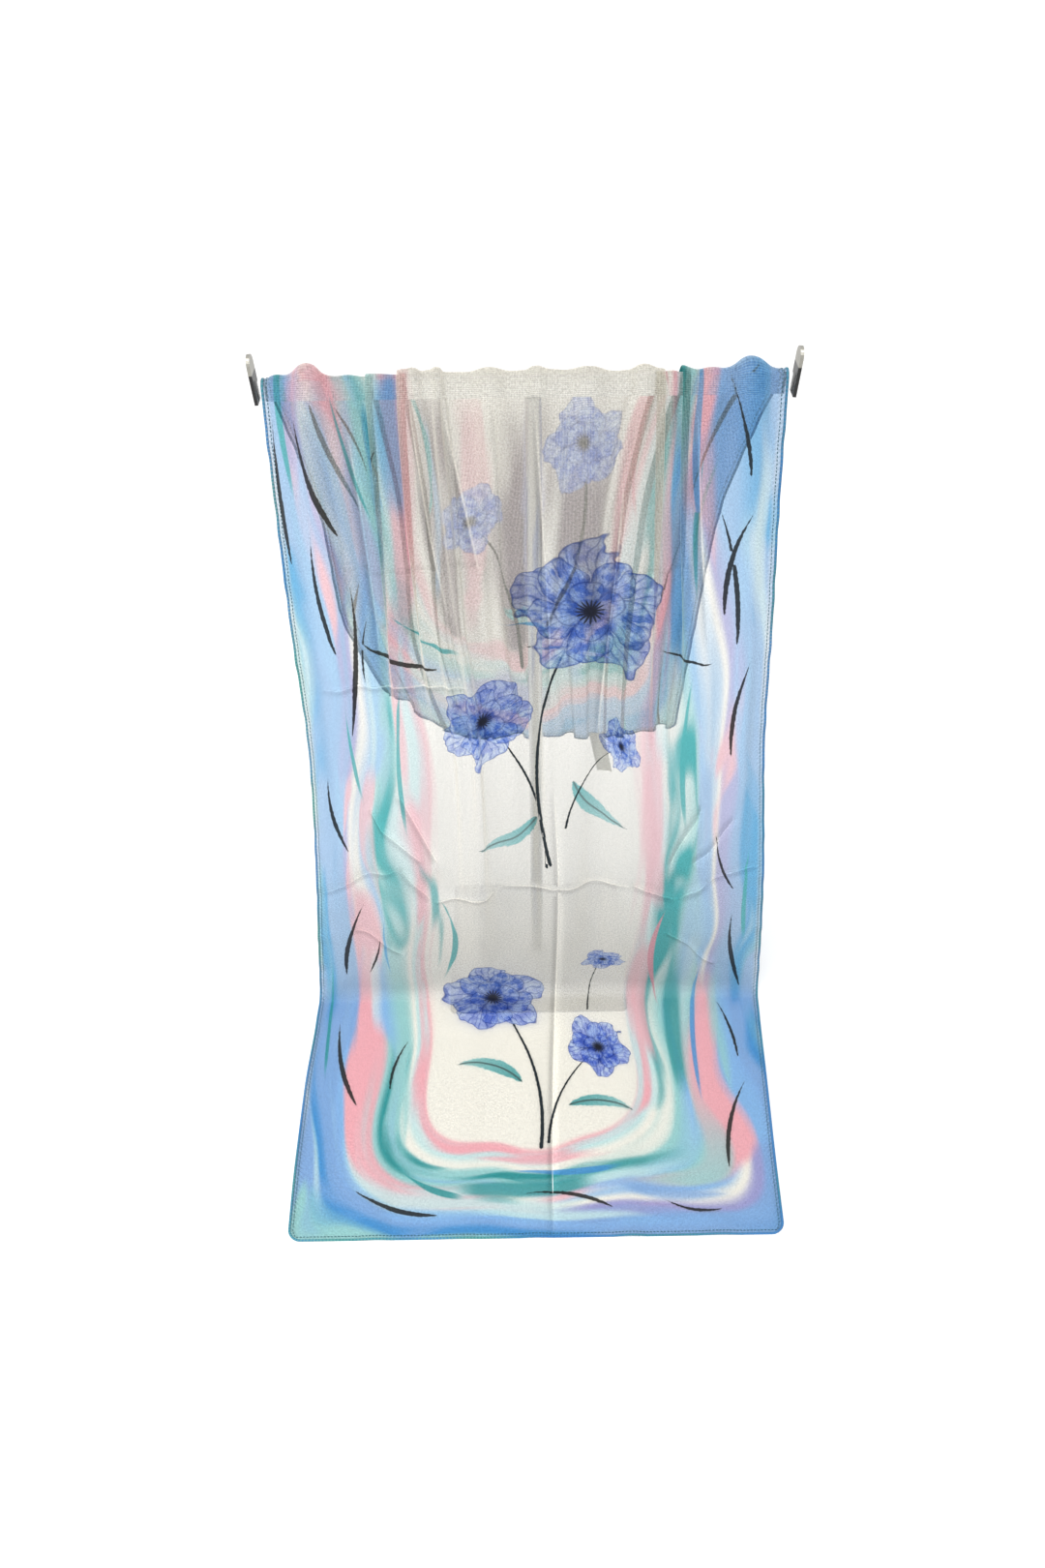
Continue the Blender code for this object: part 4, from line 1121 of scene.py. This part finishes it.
def make_chiffon():
    """Printed chiffon: a clear share tinted by the dye, and yarn that glows in it."""
    material = bpy.data.materials.new("printed polyester chiffon")
    material.use_nodes = True
    tree = material.node_tree
    tree.nodes.clear()
    cut = add_node(tree, "UVMap", uv_map="cut")
    place = add_node(tree, "SeparateXYZ", [cut])
    dyed = add_node(tree, "Group", node_tree=printed_dye)
    height, crest, painted_crease_shading = shade_creases(tree, cut, place.outputs[0], place.outputs[1])

    # the yarn, with the crepe grain in its tone and its relief, and the painted shade and highlight of the
    # creases and gathers in its tone
    grain = add_node(tree, "TexNoise", {"Vector": cut, "Scale": 1 / (COARSER * CREPE_GRAIN), "Detail": 2.0})
    shade = add_node(tree, "MapRange", [grain, *NOISE, 0.70, 1.16], clamp=False)
    shade = add_node(tree, "Math", [painted_crease_shading, shade], operation="MULTIPLY")
    dye = add_node(tree, "VectorMath", [dyed.outputs["Dye"], shade], operation="MULTIPLY")
    fine = add_node(tree, "Bump", {"Strength": 0.35, "Distance": 0.0004, "Height": grain})
    relief = add_node(tree, "Bump", {"Strength": 0.7, "Distance": 0.0012, "Height": height, "Normal": fine})
    gloss = {"Roughness": 0.55, "Specular IOR Level": 0.25, "Sheen Weight": 0.15, "Sheen Roughness": 0.45}
    front = add_node(tree, "BsdfPrincipled", {"Base Color": dye, "Normal": relief, **gloss})
    through = add_node(tree, "BsdfTranslucent", {"Color": dye, "Normal": relief})
    yarn = add_node(tree, "MixShader", [YARN_THROUGH, front, through])

    # the holes, between two crossing sets of yarns
    waves = []
    for way in place.outputs[:2]:
        wave = add_node(tree, "Math", [way, 2 * math.pi / (COARSER * YARN_SPACING)], operation="MULTIPLY")
        waves.append(add_node(tree, "Math", [wave], operation="SINE"))
    weave = add_node(tree, "Math", waves, operation="ADD")
    holes = add_node(tree, "MapRange", [weave, -2.0, 2.0, 0.55, 1.45])
    open_share = add_node(tree, "MapRange", [dyed.outputs["Ink"], 0.0, 1.0, OPEN_SHARE, OPEN_SHARE_INK])
    open_share = add_node(tree, "Math", [open_share, holes], operation="MULTIPLY")

    # at a slant the yarns close up, so folds look denser along their sides. A crease's crest is also made
    # denser, as part of its painted highlight
    facing = add_node(tree, "LayerWeight", [0.5]).outputs["Facing"]
    slant = add_node(tree, "MapRange", [facing, SLANT_FROM, SLANT_TO, 1.0, SLANT_LEAST])
    open_share = add_node(tree, "Math", [open_share, slant], operation="MULTIPLY")
    denser = add_node(tree, "Math", [crest, -0.45, 1.0], operation="MULTIPLY_ADD")
    open_share = add_node(tree, "Math", [open_share, denser], operation="MULTIPLY")

    # what is seen through the holes: the dye as a share of the ground, darkened by the painted shade of the
    # creases and gathers, and by the grain
    ground = dye_colour("ground")[:3]
    tint = add_node(tree, "VectorMath", [dyed.outputs["Dye"], ground], operation="DIVIDE")
    tint = add_node(tree, "VectorMath", [tint, (1.0, 1.0, 1.0)], operation="MINIMUM")
    tint = add_node(tree, "VectorMath", [tint, CLEAR_GROUND], operation="MULTIPLY")
    dim = add_node(tree, "MapRange", [painted_crease_shading, 0.0, 1.0, 0.25, 1.0])
    speckle = add_node(tree, "MapRange", [grain, *NOISE, 0.90, 1.07], clamp=False)
    dim = add_node(tree, "Math", [dim, speckle], operation="MULTIPLY")
    tint = add_node(tree, "VectorMath", [tint, dim], operation="MULTIPLY")
    clear = add_node(tree, "BsdfTransparent", [tint])
    seen = add_node(tree, "MixShader", [open_share, yarn, clear])
    add_node(tree, "OutputMaterial", {"Surface": seen})
    return material


scarf.data.materials.append(make_chiffon())
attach(scarf, "root")
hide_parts("scarf_back_stretch", "scarf_over_bar", "scarf_front_stretch", "scarf_laid_end")

# ---------------------------------------------------------------------------------------------------
# The hem: the cut's edge, rolled to the inside and overlocked all round, so it is a thin firm cord of
# the same printed cloth, overlaid with blue and teal thread. A row of fine stitches runs beside it.
# ---------------------------------------------------------------------------------------------------
# The rolled edge's size, and how far in, how long and how far apart the stitches are
HEM_WIDTH = 0.0024
HEM_THICKNESS = 0.0013
HEM_SIDES = 8
HEM_POINT_GAP = 0.0003  # points of the edge that are closer than this are left out
HEM_LOWEST = 0.0002  # nothing of the hem goes below this height, as the surface holds it up
STITCH_INSET = 0.0036
STITCH_LENGTH = 0.0024
STITCH_PITCH = 0.0034
STITCH_SIDES = 5
STITCH_LOWEST = 0.0001
THREAD_RADIUS = 0.00034  # twice a real thread's, so that the row of stitches shows

# A stitch's four points: their share along it, from its middle, and their height off the cloth
STITCH_POINTS = np.array([-0.5, -0.32, 0.32, 0.5])
STITCH_HEIGHTS = np.array([0.00005, 0.0003, 0.0003, 0.00005])

cloth_normals = grid_normals(cloth)


def edge_loop(inset):
    """Places along all four edges of the cut, a given distance inside them, as (row, column) shares."""
    places = []
    columns = np.arange(COLUMNS)
    rows = np.arange(len(row_places))
    column_inset = np.interp(inset, column_places, columns)
    row_in = np.interp(inset, row_places, rows)
    last_row = np.interp(LENGTH - inset, row_places, rows)
    last_column = np.interp(CUT_WIDTH - inset, column_places, columns)
    inner_columns = columns[(columns > column_inset) & (columns < last_column)]
    inner_rows = rows[(rows > row_in) & (rows < last_row)]
    places += [(row_in, c) for c in (column_inset, *inner_columns)]
    places += [(r, last_column) for r in (row_in, *inner_rows)]
    places += [(last_row, c) for c in (last_column, *inner_columns[::-1])]
    places += [(r, column_inset) for r in (last_row, *inner_rows[::-1])]
    return np.array(places)


def read_grid(grid, places):
    """Values of a grid between its points, at (row, column) shares."""
    r = np.clip(places[:, 0].astype(int), 0, grid.shape[0] - 2)
    c = np.clip(places[:, 1].astype(int), 0, grid.shape[1] - 2)
    fr, fc = places[:, 0] - r, places[:, 1] - c
    if grid.ndim == 3:
        fr, fc = fr[:, None], fc[:, None]
    low = grid[r, c] * (1 - fc) + grid[r, c + 1] * fc
    high = grid[r + 1, c] * (1 - fc) + grid[r + 1, c + 1] * fc
    return low * (1 - fr) + high * fr


edge_places = edge_loop(0.0)
edge_points = read_grid(cloth, edge_places)
keep = np.linalg.norm(edge_points - np.roll(edge_points, 1, axis=0), axis=1) > HEM_POINT_GAP
edge_places, edge_points = edge_places[keep], edge_points[keep]
edge_normals = read_grid(cloth_normals, edge_places)
edge_tangents = np.roll(edge_points, -1, axis=0) - np.roll(edge_points, 1, axis=0)
edge_tangents = edge_tangents / np.linalg.norm(edge_tangents, axis=1, keepdims=True)
edge_inward = np.cross(edge_tangents, edge_normals)
round_hem = np.linspace(0.0, 2 * math.pi, HEM_SIDES + 1)
hem_grid = (
    edge_points[:, None, :]
    + edge_inward[:, None, :] * (np.cos(round_hem) * HEM_WIDTH / 2)[None, :, None]
    + edge_normals[:, None, :] * (np.sin(round_hem) * HEM_THICKNESS / 2)[None, :, None]
)
hem_grid = np.concatenate([hem_grid, hem_grid[:1]])
hem_grid[:, :, 2] = np.maximum(hem_grid[:, :, 2], HEM_LOWEST)
hem = grid_piece("rolled_hem", hem_grid)
edge_u, edge_v = read_grid(across, edge_places), read_grid(along, edge_places)
edge_u = np.repeat(np.append(edge_u, edge_u[0])[:, None], HEM_SIDES + 1, axis=1)
edge_v = np.repeat(np.append(edge_v, edge_v[0])[:, None], HEM_SIDES + 1, axis=1)
hem_u, hem_v = corner_values(edge_u), corner_values(edge_v)
set_cut_map(hem.data, hem_u, hem_v)
set_print(hem.data, hem_u, hem_v)

# Overlock thread, blue in places and teal in others
THREAD_BLUE = "#1D6FA8"
THREAD_TEAL = "#14757C"


def make_hem_cloth():
    """Rolled chiffon, several layers thick, so its dye is fuller, under overlock thread that draws it in
    at each stitch. The eye sees a thin, deep blue and teal line round the cloth."""
    material, tree, shader = new_material("rolled printed chiffon")
    cut = add_node(tree, "UVMap", uv_map="cut")
    dyed = add_node(tree, "Group", node_tree=printed_dye)
    place = add_node(tree, "SeparateXYZ", [cut])
    along_edge = add_node(tree, "Math", [place.outputs[0], place.outputs[1]], operation="ADD")
    pulls = add_node(tree, "Math", [along_edge, 2 * math.pi / STITCH_PITCH], operation="MULTIPLY")
    pulls = add_node(tree, "Math", [pulls], operation="SINE")
    thread = add_node(tree, "MapRange", [pulls, -0.2, 0.6, 0.45, 0.92])
    fuller = add_node(tree, "Gamma", [dyed.outputs["Dye"], 3.0])

    # the thread changes over about 110 mm
    patches = add_node(tree, "TexNoise", {"Vector": cut, "Scale": 9.0, "Detail": 1.0})
    patches = add_node(tree, "MapRange", [patches, 0.42, 0.58, 0.0, 1.0])
    threads = {0: patches, 6: to_linear(THREAD_BLUE), 7: to_linear(THREAD_TEAL)}
    thread_dye = add_node(tree, "Mix", threads, **COLOURS).outputs[2]
    colour = add_node(tree, "Mix", {0: thread, 6: fuller, 7: thread_dye}, **COLOURS).outputs[2]
    grain = add_node(tree, "TexNoise", {"Vector": cut, "Scale": 1 / (COARSER * CREPE_GRAIN), "Detail": 2.0})
    height = add_node(tree, "Math", [pulls, 0.5, grain], operation="MULTIPLY_ADD")
    relief = add_node(tree, "Bump", {"Strength": 0.6, "Distance": 0.0005, "Height": height})
    set_inputs(tree, shader, {"Base Color": colour, "Normal": relief, "Roughness": 0.6, "Sheen Weight": 0.2})
    return material


hem.data.materials.append(make_hem_cloth())
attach(hem, "root")

# The row of stitches beside the rolled edge: short lengths of thread on both faces of the cloth
seam_places = edge_loop(STITCH_INSET)
seam_points = read_grid(cloth, seam_places)
seam_normals = read_grid(cloth_normals, seam_places)
seam_points = np.concatenate([seam_points, seam_points[:1]])
seam_normals = np.concatenate([seam_normals, seam_normals[:1]])
seam_length = np.concatenate([[0.0], np.cumsum(np.linalg.norm(np.diff(seam_points, axis=0), axis=1))])
stitch_count = int(seam_length[-1] / STITCH_PITCH)
stitch_verts, stitch_faces = [], []
for k in range(stitch_count):
    ends = (k + 0.5) * STITCH_PITCH + STITCH_POINTS * STITCH_LENGTH
    line = np.stack([np.interp(ends, seam_length, seam_points[:, i]) for i in range(3)], axis=1)
    out = np.array([np.interp(ends[1], seam_length, seam_normals[:, i]) for i in range(3)])
    out = out / np.linalg.norm(out)
    run = line[-1] - line[0]
    if np.linalg.norm(run) < 0.5 * STITCH_LENGTH:
        continue
    beside = np.cross(run / np.linalg.norm(run), out)
    for face in (1, -1):
        first = len(stitch_verts)
        line_out = line + out * face * STITCH_HEIGHTS[:, None]
        stitch_verts.append(line_out[0])
        for ring in (line_out[1], line_out[2]):
            for turned in np.linspace(0.0, 2 * math.pi, STITCH_SIDES, endpoint=False):
                off_axis = math.cos(turned) * beside + math.sin(turned) * out
                stitch_verts.append(ring + THREAD_RADIUS * off_axis)
        stitch_verts.append(line_out[3])
        for i in range(STITCH_SIDES):
            j = (i + 1) % STITCH_SIDES
            low, high = first + 1, first + 1 + STITCH_SIDES
            stitch_faces.append((first, low + j, low + i))
            stitch_faces.append((low + i, low + j, high + j, high + i))
            stitch_faces.append((high + i, high + j, first + 1 + 2 * STITCH_SIDES))
stitch_verts = np.array(stitch_verts)
stitch_verts[:, 2] = np.maximum(stitch_verts[:, 2], STITCH_LOWEST)
stitches = add_piece("hem_stitches", stitch_verts.tolist(), stitch_faces)

# Teal sewing thread, darker and lighter along its twist
THREAD_DARK = "#0C4653"
THREAD_LIGHT = "#1B6673"


def make_thread():
    """Spun polyester thread: a teal a little deeper than the print's, slightly glossy, with the 0.4 mm
    mottle of its twist."""
    material, tree, shader = new_material("teal polyester thread")
    place = add_node(tree, "TexCoord").outputs["Object"]
    twist = add_node(tree, "TexNoise", {"Vector": place, "Scale": 2400.0, "Detail": 1.0})
    tones = {0: twist, 6: to_linear(THREAD_DARK), 7: to_linear(THREAD_LIGHT)}
    tone = add_node(tree, "Mix", tones, **COLOURS).outputs[2]
    set_inputs(tree, shader, {"Base Color": tone, "Roughness": 0.45})
    return material


stitches.data.materials.append(make_thread())
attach(stitches, "root")

# ---------------------------------------------------------------------------------------------------
# The care label: a short tape of woven satin, blank, sewn by its top edge inside the back hem, where it
# hangs between the two sides of the scarf and swings to one side.
# ---------------------------------------------------------------------------------------------------
# How far the label's free end swings across and leans, and the shallow curl that it has on the way down
LABEL_SWING = 0.009
LABEL_LEAN = 0.002
LABEL_CURL = 0.0015
LABEL_CURL_TURN = 3.4

# Its sides, how far it is sewn in above the hem, its whole length, and how far it stands off the cloth
LABEL_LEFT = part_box("care_label")[0].x
LABEL_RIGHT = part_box("care_label")[1].x - LABEL_SWING
LABEL_OVERLAP = 0.005
LABEL_DROP = 0.050
LABEL_OFFSET = 0.0023
LABEL_THICKNESS = 0.0004
LABEL_COLUMNS = 17
LABEL_ROWS = 26

label_columns = np.interp(np.linspace(LABEL_LEFT, LABEL_RIGHT, LABEL_COLUMNS), cloth[0, :, 0], across[0])
on_hem = np.interp(label_columns, column_places, np.arange(COLUMNS))
label_base = read_grid(cloth, np.stack([np.zeros(LABEL_COLUMNS), on_hem], axis=1))
flat_across = np.gradient(label_base, axis=0)
flat_inward = np.stack([flat_across[:, 1], -flat_across[:, 0], np.zeros(LABEL_COLUMNS)], axis=1)
flat_inward = flat_inward / np.linalg.norm(flat_inward, axis=1)[:, None]
label_rows = []
for share in np.linspace(0.0, 1.0, LABEL_ROWS):
    drop = share * LABEL_DROP - LABEL_OVERLAP
    swung = max(drop, 0.0) / (LABEL_DROP - LABEL_OVERLAP)
    forward = LABEL_CURL * math.sin(LABEL_CURL_TURN * swung) - LABEL_LEAN * swung
    shift = np.array([LABEL_SWING * swung, forward, -drop])
    label_rows.append(label_base + flat_inward * LABEL_OFFSET + shift)
label = grid_piece("woven_label", np.array(label_rows)[::-1])
label_wall = label.modifiers.new("Tape", "SOLIDIFY")
label_wall.thickness = LABEL_THICKNESS
label_wall.offset = 0.0
label_u = np.repeat(label_columns[None, :], LABEL_ROWS, axis=0)
label_v = np.repeat(np.linspace(0.0, LABEL_DROP, LABEL_ROWS)[:, None], LABEL_COLUMNS, axis=1)
set_cut_map(label.data, corner_values(label_u), corner_values(label_v))

# White satin, darker and lighter from yarn to yarn
SATIN_DARK = "#C9CAC6"
SATIN_LIGHT = "#E4E4DF"


def make_satin():
    """Woven satin tape: smooth, with a soft streaky gloss along its floating yarns. They are 0.1 mm wide
    and 1 mm long, too fine to show, and are drawn about four times as coarse."""
    material, tree, shader = new_material("woven satin tape")
    cut = add_node(tree, "UVMap", uv_map="cut")
    drawn = add_node(tree, "VectorMath", [cut, (2600.0, 240.0, 1.0)], operation="MULTIPLY")
    yarns = add_node(tree, "TexNoise", {"Vector": drawn, "Scale": 1.0, "Detail": 2.0})
    tones = {0: yarns, 6: to_linear(SATIN_DARK), 7: to_linear(SATIN_LIGHT)}
    tone = add_node(tree, "Mix", tones, **COLOURS).outputs[2]
    rough = add_node(tree, "MapRange", [yarns, *NOISE, 0.30, 0.46])
    relief = add_node(tree, "Bump", {"Strength": 0.3, "Distance": 0.0002, "Height": yarns})
    set_inputs(tree, shader, {"Base Color": tone, "Roughness": rough, "Normal": relief})
    return material


label.data.materials.append(make_satin())
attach(label, "root")
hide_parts("care_label")

# ---------------------------------------------------------------------------------------------------
# The studio: a matt white floor, a wide soft sun from above and a little in front, a soft key lamp at
# the left in front, and a white room, which lights matt things dimly and gives the metal white to mirror.
# ---------------------------------------------------------------------------------------------------
FLOOR_HALF = 9.0
FLOOR_WHITE = "#F5F5F5"
OVERHEAD_STRENGTH = 2.4
OVERHEAD_TILT = math.radians(16)
OVERHEAD_SPREAD = math.radians(45)
OVERHEAD_PLACE = (0.0, 0.0, 2.5)
KEY_POWER = 15.0
KEY_SIZE = 1.3
KEY_PLACE = Vector((-1.45, -0.85, 1.20))
KEY_AIM = Vector((0.0, 0.0, 0.6))
ROOM_LIGHT = 0.50
ROOM_SHOWN = 1.15
WHITE = (1.0, 1.0, 1.0, 1.0)

floor_corners = [(x * FLOOR_HALF, y * FLOOR_HALF, 0) for x, y in ((-1, -1), (1, -1), (1, 1), (-1, 1))]
floor = add_piece("floor", floor_corners, [(0, 1, 2, 3)])
floor_paint, floor_tree, floor_shader = new_material("matt white paint")
matt = {"Base Color": to_linear(FLOOR_WHITE), "Roughness": 0.9, "Specular IOR Level": 0.1}
set_inputs(floor_tree, floor_shader, matt)
floor.data.materials.append(floor_paint)
floor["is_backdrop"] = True

overhead = bpy.data.lights.new("overhead", "SUN")
overhead.energy = OVERHEAD_STRENGTH
overhead.angle = OVERHEAD_SPREAD
overhead_lamp = link_new("overhead", overhead)
overhead_lamp.location = OVERHEAD_PLACE
overhead_lamp.rotation_euler = (OVERHEAD_TILT, 0.0, 0.0)

key = bpy.data.lights.new("key", "AREA")
key.size = KEY_SIZE
key.energy = KEY_POWER
key_lamp = link_new("key", key)
key_lamp.location = KEY_PLACE
key_lamp.rotation_euler = (KEY_AIM - KEY_PLACE).to_track_quat("-Z", "Y").to_euler()
key_lamp.visible_camera = False

room = bpy.data.worlds.new("pale room")
room.use_nodes = True
room_tree = room.node_tree
room_tree.nodes.clear()
scattered = add_node(room_tree, "LightPath").outputs["Is Diffuse Ray"]
lit = add_node(room_tree, "Background", [WHITE, ROOM_LIGHT])
shown = add_node(room_tree, "Background", [WHITE, ROOM_SHOWN])
mixed = add_node(room_tree, "MixShader", [scattered, shown, lit])
add_node(room_tree, "OutputWorld", {"Surface": mixed})
bpy.context.scene.world = room
bpy.context.scene.view_settings.view_transform = "Standard"

# The camera looks down at the scarf from in front, with a slight roll
CAMERA_PLACE = (-0.0143, -1.0832, 1.205)
CAMERA_DOWN = math.radians(41.2)
CAMERA_ROLL = math.radians(0.9)
CAMERA_LENS = 31.11
CAMERA_SENSOR = 36.0
CAMERA_NEAREST = 0.02
level_right = Vector((1.0, 0.0, 0.0))
level_up = Vector((0.0, math.sin(CAMERA_DOWN), math.cos(CAMERA_DOWN)))
forward = Vector((0.0, math.cos(CAMERA_DOWN), -math.sin(CAMERA_DOWN)))
right = level_right * math.cos(CAMERA_ROLL) - level_up * math.sin(CAMERA_ROLL)
up = level_right * math.sin(CAMERA_ROLL) + level_up * math.cos(CAMERA_ROLL)
camera_data = bpy.data.cameras.new("camera")
camera_data.lens = CAMERA_LENS
camera_data.sensor_width = CAMERA_SENSOR
camera_data.clip_start = CAMERA_NEAREST
camera = link_new("camera", camera_data)
camera.matrix_world = Matrix.Translation(CAMERA_PLACE) @ Matrix((right, up, -forward)).transposed().to_4x4()
bpy.context.scene.camera = camera

low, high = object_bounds()
